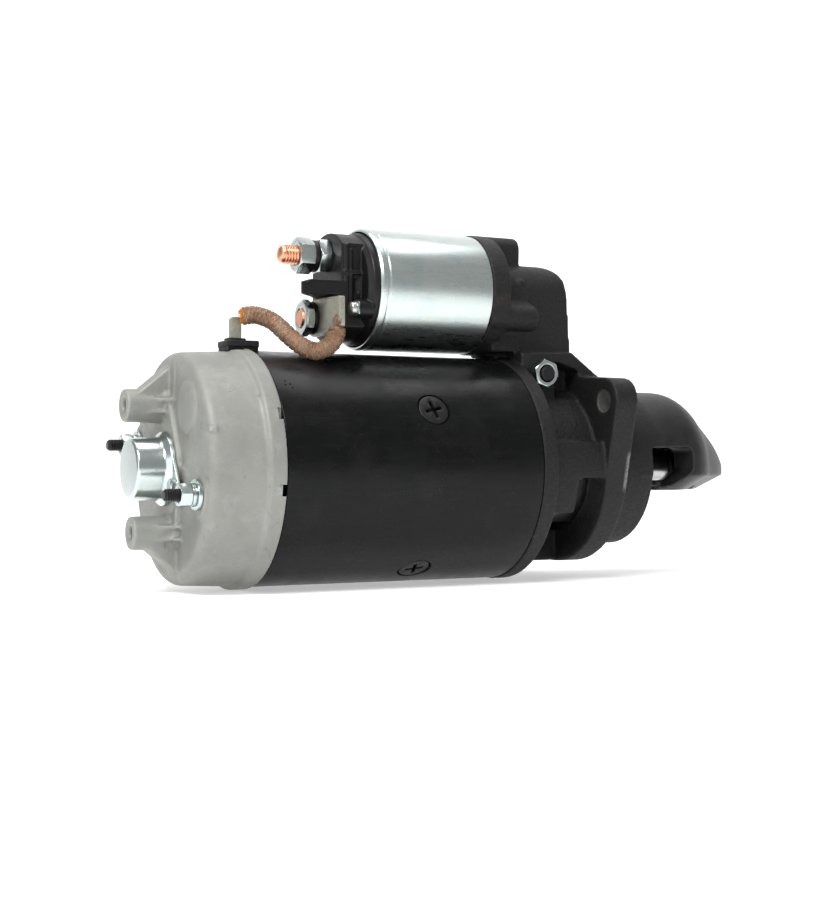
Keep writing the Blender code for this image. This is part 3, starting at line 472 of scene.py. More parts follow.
def blasted_alloy():
    """Bead-blasted cast aluminium: fine grain, cloudy tone, rubs, scratches and painted shade darkening its
    hollows.
    """
    m = Look("blasted_alloy", (0.245, 0.25, 0.23), 0.52, 0.25, 0.35)
    m.tint((0.17, 0.17, 0.155), m.cloud(30, 0.46, 0.70, 5, 0.65), 0.55)
    m.tint((0.31, 0.315, 0.295), m.cloud(9, 0.52, 0.7, 6, 0.7, place=(3, 1, 0)), 0.5)
    ridge = m.math("ABSOLUTE", m.math("SUBTRACT", m.noise(9, 3, 0.55, (0.7, 1, 0.45)), 0.5))
    scuff = m.ramp(ridge, 0.006, 0.014, 1, 0)
    scuff = m.times(scuff, m.cloud(11, 0.60, 0.64, 3, 0.6, place=(0.9, 0.4, 0.2)))
    m.tint((0.09, 0.09, 0.085), scuff, 0.45)
    m.tint((0.44, 0.45, 0.43), m.edges(0.52, 0.58), 0.5)
    # Painted shade: darker where the mesh is hollow (low pointiness), standing in for the shade that falls
    # in creases, corners and under the webs
    m.tint((0.10, 0.095, 0.085), m.ramp(m.edges(0.42, 0.49), 0, 1, 1, 0), 0.6)
    grain = m.noise(0.5, 3)
    m.tint((0.20, 0.20, 0.185), m.ramp(grain, 0.45, 0.62), 0.35)
    m.rough(0.38, m.cloud(6, 0.5, 0.7, 4, 0.6, place=(5, 5, 5)), 0.6)
    m.rough(0.7, scuff)
    m.bump(grain, 0.08).bump(m.noise(1.5, 3, 0.5), 0.08).bump(scuff, -0.04)
    return m.done()


def black_enamel():
    """Satin black paint on rolled steel, with faint dust and drag marks."""
    m = Look("black_enamel", (0.0030, 0.0032, 0.0035), 0.24, 0.0, 0.16)
    drag = m.noise(3.0, 5, 0.65, (0.12, 1, 1))
    m.tint((0.0055, 0.0058, 0.0062), m.ramp(drag, 0.45, 0.75), 0.8)
    cloud = m.noise(26, 5, 0.7, place=(1, 3, 2))
    m.tint((0.009, 0.009, 0.0095), m.ramp(cloud, 0.5, 0.7), 0.6)
    dust = m.cloud(1.1, 0.70, 0.78, 2, 0.5)
    m.tint((0.06, 0.06, 0.055), dust, 0.3)
    m.rough(0.45, m.cloud(22, 0.4, 0.7, 4), 0.6)
    m.rough(0.5, m.ramp(drag, 0.55, 0.8), 0.5)
    m.bump(m.noise(9, 3, 0.5, (0.4, 1, 1)), 0.16).bump(m.noise(0.8, 3), 0.012)
    return m.done()


def black_casting():
    """Rough black casting, smoother on the nose, with bare chips, brown dust and a worn flange edge."""
    m = Look("black_casting", (0.0050, 0.0053, 0.0054), 0.48, 0.0, 0.26)
    x, y, z = m.axis("X"), m.axis("Y"), m.axis("Z")
    nose = m.ramp(x, 24, 30)
    body = m.math("SUBTRACT", 1.0, nose)
    grain = m.noise(0.7, 4, 0.65)
    pits = m.cloud(2.0, 0.40, 0.62, 4)
    m.tint((0.015, 0.015, 0.0147), m.times(m.ramp(grain, 0.46, 0.70), body), 0.75)
    m.tint((0.019, 0.0195, 0.019), m.times(m.cloud(18, 0.35, 0.65), nose), 0.85)
    brown = m.times(m.cloud(4, 0.52, 0.64, 6, 0.7), m.ramp(x, -66, -52, 1, 0))
    m.tint((0.026, 0.017, 0.015), brown, 0.7)
    m.tint((0.035, 0.035, 0.033), m.edges(0.53, 0.60), 0.5)
    chips = m.times(m.edges(0.53, 0.57), m.cloud(1.6, 0.62, 0.67, 3))
    m.tint((0.16, 0.16, 0.15), chips, 0.7)
    worn = m.times(m.ramp(x, -2.8, -1.6), m.ramp(x, 0.4, 0.9, 1, 0))
    worn = m.times(worn, m.times(m.ramp(z, -13, -9), m.ramp(z, 6, 9, 1, 0)))
    worn = m.times(worn, m.times(m.ramp(y, -40, -44), m.ramp(grain, 0.36, 0.46)))
    m.tint((0.17, 0.17, 0.155), worn, 0.9)
    ear_y, ear_z = polar(EAR_CIRCLE_R, EAR_ANGLES[0])
    off_y, off_z = m.math("SUBTRACT", y, ear_y), m.math("SUBTRACT", z, ear_z)
    reach = m.math("SQRT", m.math("ADD", m.times(off_y, off_y), m.times(off_z, off_z)))
    drilled = m.times(m.ramp(reach, 5.9, 6.3, 1, 0), m.ramp(x, -16, -14))
    m.tint((0.07, 0.07, 0.066), drilled, 0.8)
    m.rough(0.42, nose)
    m.rough(0.62, m.times(pits, body), 0.7)
    m.rough(0.36, m.times(m.cloud(4, 0.5, 0.7), nose), 0.6)
    rough_bump = m.ramp(x, 24, 30, 1, 0.3)
    m.bump(m.times(grain, rough_bump), 0.34)
    m.bump(m.times(m.noise(2.2, 4), rough_bump), 0.55)
    return m.done()


def zinc(name, tone=(0.50, 0.56, 0.55), roughness=0.2, brushed=False):
    """Bright zinc plate: cool grey with faint blue and yellow clouds and fine handling marks."""
    m = Look(name, tone, roughness, 1.0)
    m.tint((0.44, 0.53, 0.57), m.cloud(13, 0.5, 0.7, 3), 0.5)
    m.tint((0.56, 0.57, 0.48), m.cloud(17, 0.55, 0.75, 3, place=(2, 7, 4)), 0.4)
    streak = m.noise(2.4, 5, 0.65, (0.12, 1, 1) if brushed else (1, 1, 1))
    m.tint((0.34, 0.37, 0.36), m.ramp(streak, 0.55, 0.8), 0.22 if brushed else 0.4)
    m.rough(roughness + 0.12, m.ramp(streak, 0.40, 0.80), 0.7)
    spots = m.cloud(2.4, 0.70, 0.76, 4, 0.6, place=(8, 1, 3))
    m.tint((0.36, 0.37, 0.35), spots, 0.4).rough(0.5, spots)
    m.bump(m.noise(0.7, 3), 0.006).bump(streak, 0.002)
    return m.done()


def copper_stud():
    m = Look("copper_stud", (0.72, 0.33, 0.20), 0.3, 1.0)
    m.tint((0.80, 0.47, 0.33), m.cloud(1.6, 0.5, 0.7), 0.6)
    m.tint((0.42, 0.17, 0.09), m.cloud(3, 0.58, 0.75, 5, 0.7, place=(3, 3, 1)), 0.6)
    m.rough(0.45, m.cloud(1.1, 0.5, 0.7), 0.7)
    m.bump(m.noise(0.4, 3), 0.02)
    return m.done()


def tinned():
    """Dull tinned copper, olive grey."""
    m = Look("tinned_copper", (0.33, 0.33, 0.27), 0.4, 0.6)
    m.tint((0.22, 0.215, 0.165), m.cloud(4, 0.45, 0.7, 5, 0.65), 0.7)
    m.tint((0.42, 0.41, 0.35), m.cloud(1.5, 0.55, 0.7, 4, place=(1, 2, 3)), 0.5)
    m.rough(0.55, m.cloud(2, 0.45, 0.7), 0.8)
    m.bump(m.noise(1.0), 0.05)
    return m.done()


def moulding():
    """Black phenolic, a little mottled and rubbed at its edges."""
    m = Look("phenolic", (0.0055, 0.0055, 0.0058), 0.36, 0.0, 0.26)
    m.tint((0.013, 0.013, 0.0135), m.cloud(1.3, 0.5, 0.75, 4, 0.7), 0.6)
    m.tint((0.03, 0.03, 0.03), m.edges(0.53, 0.60), 0.5)
    m.rough(0.5, m.cloud(5, 0.45, 0.65), 0.7)
    m.bump(m.noise(1.2, 3), 0.03)
    return m.done()


def rubber():
    m = Look("moulded_rubber", (0.006, 0.006, 0.0065), 0.5, 0.0, 0.3)
    m.tint((0.016, 0.016, 0.017), m.cloud(1.8, 0.45, 0.7, 4, 0.7), 0.6)
    m.rough(0.75, m.cloud(3, 0.5, 0.7, 3), 0.7)
    m.bump(m.noise(0.9, 3), 0.05)
    return m.done()


def dark_steel():
    m = Look("blackened_steel", (0.010, 0.010, 0.0105), 0.38, 0.3, 0.35)
    m.tint((0.04, 0.04, 0.04), m.cloud(1.1, 0.52, 0.75), 0.6)
    m.rough(0.5, m.cloud(2, 0.45, 0.7, 3), 0.7)
    m.bump(m.noise(0.5, 3), 0.02)
    return m.done()


def bright_steel(name="machined_steel", base=(0.50, 0.50, 0.49), roughness=0.28, turned=True):
    """Turned or ground steel with fine tool lines along or round the axis."""
    m = Look(name, base, roughness, 1.0)
    lines = m.noise(1.2, 4, 0.7, (7, 0.3, 0.3) if turned else (1, 1, 1))
    m.tint((0.34, 0.33, 0.31), m.cloud(8, 0.48, 0.72), 0.5)
    m.tint((0.64, 0.64, 0.63), m.ramp(lines, 0.5, 0.75), 0.4)
    m.rough(roughness + 0.14, m.ramp(lines, 0.4, 0.7), 0.8)
    m.bump(lines, 0.015).bump(m.noise(0.7, 3), 0.01)
    return m.done()


def mottled(name, base, second, roughness=0.45, metallic=0.3, size=3.0):
    """For pieces that mostly stay out of sight: two tones, uneven gloss and a fine skin."""
    m = Look(name, base, roughness, metallic)
    m.tint(second, m.cloud(size, 0.42, 0.7, 5, 0.65), 0.8)
    m.rough(roughness + 0.2, m.cloud(size * 0.7, 0.45, 0.7, 3), 0.7)
    m.bump(m.noise(size * 0.3, 3), 0.04)
    return m.done()


LOOKS = {
    "cast_alloy": blasted_alloy(),
    "zinc": zinc("zinc_plate"),
    "can": zinc("plated_can", (0.56, 0.62, 0.60), 0.27, True),
    "black_steel": black_enamel(),
    "cast_black": black_casting(),
    "copper": copper_stud(),
    "tinned": tinned(),
    "phenolic": moulding(),
    "rubber": rubber(),
    "black_bolt": dark_steel(),
    "steel": bright_steel(),
    "ground": bright_steel("ground_steel", (0.52, 0.52, 0.51), 0.3, False),
    "bronze": mottled("sintered_bronze", (0.50, 0.30, 0.13), (0.34, 0.19, 0.08), 0.45, 0.9),
    "lamination": mottled("oiled_sheet", (0.16, 0.16, 0.165), (0.09, 0.085, 0.08), 0.4, 0.8),
    "enamel_copper": mottled("varnished_wire", (0.42, 0.15, 0.06), (0.24, 0.07, 0.03), 0.3, 0.3),
    "weld": mottled("burnt_weld", (0.16, 0.085, 0.05), (0.33, 0.30, 0.24), 0.45, 0.5, 1.6),
    "carbon": mottled("graphite", (0.045, 0.042, 0.04), (0.10, 0.07, 0.05), 0.6, 0.1, 1.0),
}
slot_name = {s["node"]: s["material_slot"] for s in frame["record"]["subparts"]}


def piece(name, obj, look, *replaced, rides="frame", slot=None, angle=30):
    """A finished piece in place of CAD nodes, smooth but for edges sharper than the angle."""
    obj.data.materials.clear()
    obj.data.materials.append(LOOKS[look] if isinstance(look, str) else look)
    obj.data.shade_smooth()
    if angle is not None:
        obj.data.set_sharp_from_angle(angle=math.radians(angle))
    obj.name = obj.data.name = name
    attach(obj, rides)
    if replaced:
        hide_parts(*replaced)
        slot = slot or slot_name[replaced[0]]
    return obj


for node_name, obj in nodes.items():
    look = LOOKS.get(slot_name[node_name], LOOKS["steel"])
    if obj.material_slots:
        for held in obj.material_slots:
            held.material = look
    else:
        obj.data.materials.append(look)


# ---------------------------------------------------------------- shared hardware


def hexagon(y, z, across_flats, twist=0.0):
    """Corners straight up and down at twist 0, so that a flat faces each side."""
    corners = turned_outline(circle(0, 0, across_flats / math.sqrt(3), 6), 30 + twist)
    return [(y + a, z + b) for a, b in corners]


def nut(x0, x1, y, z, across_flats, bore, twist=0.0, both=True):
    """A hexagon nut along X with turned chamfers and a countersunk bore."""
    corner = across_flats / math.sqrt(3)
    ease = corner - across_flats / 2 + 0.15
    body = prism(hexagon(y, z, across_flats, twist), "X", x0, x1)
    lead = corner - ease
    turned = [(x0, 0), (x0, lead), (x0 + ease * 0.62, corner + 0.12)]
    turned += [(x1 - ease * 0.62, corner + 0.12), (x1, lead)] if both else [(x1, corner + 0.12)]
    limit = lathe([*turned, (x1, 0)], 96, z, y)
    body = combined(body, joins=[limit], operation="INTERSECT")
    sink = 0.9
    hole = [(x0 - 1, 0), (x0 - 1, bore + sink + 0.6), (x0 + sink, bore), (x1 - sink, bore)]
    hole += [(x1 + 1, bore + sink + 0.6), (x1 + 1, 0)]
    return softened(combined(body, cuts=[lathe(hole, 64, z, y)]), 0.12)


def softened(obj, width, angle=28, steps=2):
    """Breaks the sharp edges with a small bevel."""
    bevel = obj.modifiers.new("Edges", "BEVEL")
    bevel.width = width * MM
    bevel.segments = steps
    bevel.limit_method = "ANGLE"
    bevel.angle_limit = math.radians(angle)
    bevel.use_clamp_overlap = True
    return baked(obj)


def screw_thread(x0, x1, y, z, radius, pitch, depth, ends, around, along, dome=0.0):
    """A closed threaded rod along X. Ends give the length of the tapered lead at each end."""
    rows = max(4, round((x1 - x0) / pitch * along))
    verts = []
    for i in range(rows + 1):
        x = x0 + (x1 - x0) * i / rows
        from_start, from_end = x - x0, x1 - x
        limit = radius + 1
        if ends[0] and from_start < ends[0]:
            limit = radius - depth - 0.45 + (depth + 0.5) * from_start / ends[0]
        if dome and from_start < dome:
            swell = math.sqrt(max(0.02, 1 - (1 - from_start / dome) ** 2)) ** 0.7
            limit = min(limit, (radius - depth * 0.6) * swell)
        if ends[1] and from_end < ends[1]:
            limit = min(limit, radius - depth - 0.1 + (depth + 0.2) * from_end / ends[1])
        for k in range(around):
            a = math.tau * k / around
            phase = (x / pitch - k / around) % 1.0
            flank = abs(phase * 2 - 1)
            r = radius - depth * min(1.0, max(0.0, flank * 1.25 - 0.12))
            r = min(r, limit)
            verts.append((x, y + r * math.cos(a), z + r * math.sin(a)))
    faces = bridged(rows + 1, around)
    faces.append(list(range(around)))
    faces.append([rows * around + k for k in range(around)][::-1])
    return from_faces("thread", verts, faces)


def spring_washer(x0, x1, y, z, outer, inner, gap_angle):
    """A split ring, square in section, with its slanted gap."""
    ring = lathe(filleted([(x0, outer, 0.25), (x1, outer, 0.25), (x1, inner), (x0, inner)]), 96, z, y)
    slit = box((x0 - 2, -0.45, inner - 2), (x1 + 2, 0.45, outer + 3))
    slant = math.radians(24)
    slit.data.transform(Matrix.Rotation(slant, 4, "Z"))
    slit.data.transform(Matrix.Translation(((x0 + x1) / 2 * MM * (1 - math.cos(slant)), 0, 0)))
    slit.data.transform(Matrix.Rotation(math.radians(gap_angle - 90), 4, "X"))
    slit.data.transform(Matrix.Translation((0, y * MM, z * MM)))
    return combined(ring, cuts=[outward(slit)])


# ---------------------------------------------------------------- commutator end


CUP_SCREWS = [polar(21.5 * side, 22) for side in (1, -1)]


def bracket_boss(y, z):
    """A tapered boss with a broad web to the rim and two fins along each side."""
    out = math.copysign(1, z)
    profile = [(-21.3, 0), (-21.3, 7.8, 0.7), (-4, 8.3, 6), (2, 11.0), (2, 0)]
    boss = lathe(filleted(shifted(SHIELD_X, profile), closed=False), 72, z, y)
    web_side = [(-17.6, z + 5.0 * out), (-14, z + 7.6 * out), (-2, 47.5 * out), (0.6, 50.5 * out)]
    web_side += [(3, 50.5 * out), (3, z), (-14, z)]
    pieces = [boss, prism(shifted(SHIELD_X, web_side), "Y", y - 6.2, y + 6.2)]
    for side in (1, -1):
        for lift in (2.9, -2.9):
            fin = [(-13.5, 5), (-12.5, 7.3), (-4, 9.6), (-1.5, 12.4), (2, 13.6), (2, 5)]
            outline = shifted(SHIELD_X, [(a, y + side * b) for a, b in fin])
            pieces.append(prism(outline, "Z", z + lift - 0.85, z + lift + 0.85))
    return pieces


def shield_casting():
    """The end shield with its bosses, pads, ribs and rim notches, as one casting."""
    rim = shifted(SEAM_X, [(-0.3, RIM_R, 0.7), (-8.2, RIM_R, 0.9), (-9.6, 56.8, 1.2)])
    end = [(0, 55.4, 4.6), (0, 8.8, 0.6), (16, 8.8), (16, 13), (5, 15), (5, 47), (9, 51)]
    shell = lathe(filleted([*rim, *shifted(SHIELD_X, end), (SEAM_X - 0.3, 52.5)]), 160)
    boss_rings = [circle(y, z, 9.5) for y, z in BOSSES]
    joins = [prism(hull(circle(0, 0, 19), *boss_rings), "X", SHIELD_X - 2.6, SHIELD_X + 2)]
    for angle in BOLT_ANGLES:
        y, z = polar(BOLT_CIRCLE_R, angle)
        pad = hull(circle(y * 0.965, z, 10.4), circle(y * 0.45, z * 0.45, 7))
        joins.append(prism(pad, "X", SHIELD_X - 1.15, SHIELD_X + 3))
    dome = [(-1.9, 0), (-1.9, 10.2), (-1.3, 11.9), (0.4, 12.8), (3, 12.8), (3, 0)]
    joins.append(lathe(shifted(SHIELD_X, dome), 80, 28.4, -27.0))
    for y, z in BOSSES:
        joins += bracket_boss(y, z)
    for angle in (100, 262):
        rib = box((SHIELD_X - 0.9, -0.9, 19), (SHIELD_X + 2, 0.9, 50))
        joins.append(spun(rib, angle))
    joins.append(box((SHIELD_X + 0.6, -53.9, 17.0), (SHIELD_X + 4.2, -50, 19.2)))
    cuts = [rod("X", (0, 0), 8.8, SHIELD_X - 8, SHIELD_X + 10)]
    for y, z in BOSSES:
        hole = [(-23, 0), (-23, 4.7), (-21.2, 4.1), (-20.2, 3.2), (-5, 3.2), (-4, 0)]
        cuts.append(lathe(shifted(SHIELD_X, hole), 48, z, y))
    cuts += [rod("X", polar(BOLT_CIRCLE_R, a), 3.4, SHIELD_X - 5, SEAM_X + 5, 32) for a in BOLT_ANGLES]
    cuts.append(box((SEAM_X - 10.5, -7.4, 49), (SEAM_X + 2, 7.4, 70)))
    cuts += [rod("X", place, 2.0, SHIELD_X - 8, SHIELD_X + 3, 24) for place in CUP_SCREWS]
    solid = cast(combined(shell, joins, cuts), 0.72, 4, 0.36)
    notches = [box((SEAM_X - 2.8, -70, z - 2.7), (SEAM_X + 2, -50, z + 2.7)) for z in (25.5, -9.8)]
    ledge = box((SEAM_X - 10.0, -17.5, 56.9), (SEAM_X - 2.0, -7.0, 62))
    solid = combined(solid, cuts=[*notches, ledge])
    piece("shield_casting", solid, "cast_alloy", "commutator_end_shield", angle=50)


def rear_cup():
    """The drawn cap over the rear bearing and its two screws."""
    base = CUP_BASE_X
    outside = [(-17.4, 0), (-17.4, 14.6, 1.6), (-4.0, 15.1, 2.4), (-1.5, 17.6, 0.8), (0, 17.8)]
    inside = [(0, 13.4, 0.5), (-3, 13.3), (-15.9, 12.9, 1), (-15.9, 0)]
    cup = filleted(shifted(base, outside + inside), closed=False, steps=6)
    ears = [circle(y, z, 4.5) for y, z in CUP_SCREWS]
    outline = hull(circle(0, 0, 17.2, 96), *ears)
    plate = prism(outline, "X", base - 1.5, base, 0.35, holes=[circle(0, 0, 13.6)])
    holes = [rod("X", place, 2.3, base - 3, base + 2, 24) for place in CUP_SCREWS]
    solid = combined(lathe(cup, 160), joins=[plate], cuts=holes)
    piece("rear_cup", solid, "zinc", "bearing_cap")
    for label, (y, z) in zip("ab", CUP_SCREWS):
        head = prism(hexagon(y, z, 6.6, 10), "X", base - 4.3, base - 1.9)
        limit = [(-4.3, 0), (-4.3, 2.9), (-3.4, 3.9), (-1.8, 3.9), (-1.8, 0)]
        limit = lathe(shifted(base, limit), 48, z, y)
        head = combined(head, joins=[limit], operation="INTERSECT")
        washer = rod("X", (y, z), 3.75, base - 2.2, base - 1.55, 48)
        shank = rod("X", (y, z), 1.7, base - 2.4, base + 5, 24)
        solid = combined(head, joins=[washer, shank])
        piece(f"rear_cup_screw_{label}", solid, "zinc", f"bearing_cap_screw_{label}")


def through_bolts():
    """Black studs through the motor, each with a nut, a spring washer and a flat washer."""
    for label, angle, twist in (("a", BOLT_ANGLES[0], 8), ("b", BOLT_ANGLES[1], 22)):
        y, z = polar(BOLT_CIRCLE_R, angle)
        tip = screw_thread(SHIELD_X - 17.6, SHIELD_X + 3, y, z, 3.0, 1.0, 0.5, (1.3, 0.6), 36, 8)
        shank = rod("X", (y, z), 2.95, SHIELD_X + 2.4, RING_END_X - 2.4, 32)
        solid = joined([tip, shank], "bolt")
        piece(f"through_bolt_rod_{label}", solid, "black_bolt", f"through_bolt_{label}")
        nut_body = nut(SHIELD_X - 10.8, SHIELD_X - 5.2, y, z, 10.0, 3.05, twist)
        split = spring_washer(SHIELD_X - 5.1, SHIELD_X - 3.3, y, z, 5.4, 3.4, 150)
        washer = [(-3.2, 7.2, 0.3), (-1.2, 7.2, 0.3), (-1.2, 3.4), (-3.2, 3.4)]
        flat = lathe(filleted(shifted(SHIELD_X, washer)), 80, z, y)
        solid = joined([nut_body, split, flat], "nut")
        piece(f"through_bolt_nut_set_{label}", solid, "zinc", f"through_bolt_nut_{label}")


# ---------------------------------------------------------------- motor body


def motor_body():
    """The rolled tube with its countersunk pole screws and a few punch marks by the seam."""
    outer = [(SEAM_X, YOKE_R, 0.5), (YOKE_END_X, YOKE_R, 0.5)]
    ring = filleted([*outer, (YOKE_END_X, YOKE_BORE), (SEAM_X, YOKE_BORE)])
    profile = []
    for near, far in zip(ring, ring[1:] + ring[:1]):
        steps = max(1, round(abs(far[0] - near[0]) / 12))
        near, far = Vector(near), Vector(far)
        profile += [tuple(near.lerp(far, i / steps)) for i in range(steps)]
    body = lathe(profile, 240)
    cuts = [box((SEAM_X - 2, -7.4, 48), (SEAM_X + 6.5, 7.4, 70))]
    for angle in POLE_ANGLES:
        for small, low, high, wide in ((5.4, 49, 57.0, 8.55), (8.55, 56.9, 60, 10.0)):
            sink = rod("Z", (POLE_SCREW_X, 0), small, low, high, 96, end_radius=wide)
            cuts.append(spun(sink, angle))
    for x, angle in ((5.2, 137.2), (7.6, 136.6), (5.6, 134.6), (8.2, 139.0)):
        mark = rod("Z", (SEAM_X + x, 0), 0.1, YOKE_R - 0.5, YOKE_R + 0.6, 16, end_radius=1.1)
        cuts.append(spun(mark, angle))
    piece("motor_body", combined(body, cuts=cuts), "black_steel", "yoke")
    for number, angle in enumerate(POLE_ANGLES, 1):
        profile = [(43.0, 0), (43.0, 4.9), (52.4, 4.9), (56.2, 7.8), (56.75, 7.75), (56.95, 7.3), (57.0, 0)]
        screw = lathe(profile, 96)
        place = Matrix.Translation((POLE_SCREW_X * MM, 0, 0))
        screw.data.transform(place @ Matrix.Rotation(math.radians(-90), 4, "Y"))
        slots = []
        for turn_by in (14, 104):
            slot = box((-4.7, -0.95, 53.8), (4.7, 0.95, 59))
            slot.data.transform(place @ Matrix.Rotation(math.radians(turn_by), 4, "Z"))
            slots.append(slot)
        screw = softened(combined(outward(screw), cuts=slots), 0.2)
        piece(f"pole_screw_head_{number}", spun(screw, angle), "black_bolt", f"pole_screw_{number}")


def terminal():
    """The flat end of the field winding and the rubber that it comes through."""
    rear, front = SEAM_X - 6.6, SEAM_X - 0.6
    outline = filleted([(rear, 48), (front, 48), (front, 73.9, 1.2), (rear, 73.9, 2.2)])
    strip = prism(outline, "Y", -1.0, 1.0, 0.3)
    piece("terminal_strip", strip, "tinned", "field_terminal_strip")
    outline = rounded(SEAM_X - 10, -8, SEAM_X + 6.2, 8, 1.4)
    plate = prism(outline, "Z", 58.8, 62.0, 0.7, bevel_steps=3)
    neck = box((SEAM_X - 9.6, -6.8, 50.0), (SEAM_X + 5.8, 6.8, 59.6))
    collar = prism(rounded(SEAM_X - 8.4, -2.9, SEAM_X + 1.2, 2.9, 1), "Z", 60, 63.4, 0.5)
    slot = box((SEAM_X - 7.1, -1.5, 45.0), (SEAM_X - 0.1, 1.5, 66.0))
    solid = combined(plate, joins=[neck, collar], cuts=[slot])
    piece("terminal_rubber", softened(solid, 0.2, 40), "rubber", "terminal_grommet")


# ---------------------------------------------------------------- drive-end housing


# Radius of the hood along X
NOSE_PROFILE = (
    (HOOD_X, 41.6), (30, 41.8), (45, 41.9), (52, 41.5), (57, 39.8), (62, 36.7), (68, 31.4),
    (76, 25.2), (84, 18.6), (90, 12.9), (95, 7.6), (98, 4.2), (NOSE_X, 1.6),
)  # fmt: skip


def nose_hood():
    """The open-bottomed hood: round above its crease and drawn in below."""
    knots = [(x, radius, 0) for x, radius in NOSE_PROFILE]
    stations = [(knot.x, knot.y) for knot in smooth_path(knots, 8)]
    verts = []
    for x, radius in stations:
        right = [(radius, -16.0), (radius, -10.0), (radius, -4.0)]
        outline = right + arc(0, 0, radius, 0, 180, 60) + [(-y, z) for y, z in right[::-1]]
        for y, z in outline:
            drawn_in = 1.0 + min(z - CREASE_Z, 0.0) * DRAW_IN
            verts.append((HOOD_X + (x - HOOD_X) * drawn_in, y * drawn_in, z))
    count = len(outline)
    faces = bridged(len(stations), count)
    for start in (0, (len(stations) - 1) * count):
        for i in range(count // 2):
            strip = [start + i, start + i + 1, start + count - 2 - i, start + count - 1 - i]
            strip = list(dict.fromkeys(strip))
            if len(strip) > 2:
                faces.append(strip)
    return from_faces("hood", verts, faces)


def solenoid_seat():
    """The round flange, cone, screw lugs and lever tower that carry the solenoid."""
    flange = rod("X", (0, SOL_Z), 31.0, CAN_X[1] + 0.3, -58, 128)
    cone = rod("X", (0, SOL_Z), 26.0, -60, -48.6, 96, end_radius=16.4)
    lugs = []
    for angle, rear, front in zip(SCREW_ANGLES, (-67.6, -67.3, -67.0), LUG_ENDS):
        y, z = polar(SCREW_CIRCLE_R, angle)
        lugs.append(prism(hull(circle(y, z + SOL_Z, 7.0), circle(0, SOL_Z, 5.2)), "X", rear, front, 1.0))
    side = [(-66, 60.3), (-66, 112), *arc(-27.2, SOL_Z + TOWER_R - 11, 11, 90, 0, 16)]
    side += [(-13.4, 53), (-46.2, 53), (-48.6, 60.3)]
    column = prism([(-TOWER_R, 40), (TOWER_R, 40), *arc(0, SOL_Z, TOWER_R, 0, 180, 48)], "X", -62.3, -5)
    tower = combined(column, joins=[prism(side, "Y", -30, 30)], operation="INTERSECT")
    foot_side = [(-59.4, 58.4), (-54.6, 58.4), (-54.6, 56), (-43.5, 56), (-43.5, 72), (-59.4, 72)]
    foot = prism(foot_side, "Y", -9.3, 9.3)
    return [flange, cone, tower, foot, *lugs]


def housing_cuts():
    """Bores, windows, pockets and screw holes."""
    spigot_x, hood_x = YOKE_END_X + 2.6, PILOT_END_X + 9
    bores = [(-74, 0), (-74, 51.9), (spigot_x, 51.9), (spigot_x, CAVITY_R), (hood_x, CAVITY_R)]
    bores += [(hood_x, 24), (65, 24), (65, 11), (70.4, 11), (70.4, 8.8), (86, 8.8), (86, 0)]
    bores = lathe(bores, 128)
    rear = PILOT_END_X + 0.06
    window = [(rear, -14), (29.5, -14), (30.5, -10.6), (40, -8.6), (48.9, -1.0)]
    window += [*arc(46.4, 8.1, 2.8, 0, 90, 8), (rear, 10.9)]
    cuts = [bores, box((PILOT_END_X, -60, -60), (120, 60, NOSE_BOTTOM)), prism(window, "Y", -60, -20)]
    cuts.append(rod("X", (0, SOL_Z), 12.2, -80, -20, 64))
    cuts.append(box((-50, -8, 20), (-17, 8, SOL_Z + 6)))
    cuts.append(box((-55, -22.3, -12.6), (-20, 22.3, 30.1)))
    rear, front = -27.5, FLANGE_REAR_X + 0.2
    for side in (1, -1):
        outline = [(rear, DRUM_TOP - 0.6), (front, DRUM_TOP - 0.6), (front, 51.5), (rear, 55.8)]
        pocket = prism(outline, "Y", *sorted((11.5 * side, 60 * side)))
        cuts.append(combined(pocket, cuts=[rod("X", (0, 0), 42.7, -40, 0, 128)]))
    cuts += [rod("X", polar(EAR_CIRCLE_R, a), EAR_HOLE_R, -20, 10, 64) for a in EAR_ANGLES]
    cuts.append(rod("Y", (PIVOT_X, PIVOT_Z), 4.3, -60, 60, 48))
    for angle, end in zip(SCREW_ANGLES, LUG_ENDS):
        y, z = polar(SCREW_CIRCLE_R, angle)
        cuts.append(rod("X", (y, z + SOL_Z), 2.9, -80, -38, 24))
        cuts.append(rod("X", (y, z + SOL_Z), 4.2, end - 4.4, -30, 32))
    cuts += [rod("X", polar(BOLT_CIRCLE_R, a), 3.4, -60, RING_END_X - 1.6, 24) for a in BOLT_ANGLES]
    wedge = [polar(20, 186), *[polar(75, a) for a in (186, 215, 245, 268)], polar(20, 268)]
    cuts.append(prism(wedge, "X", -29, FLANGE_REAR_X + 0.2))
    wide = [polar(21, 208), *[polar(80, a) for a in (208, 236, 265)], polar(21, 265)]
    cuts.append(prism(wide, "X", -45.5, -28))
    return cuts


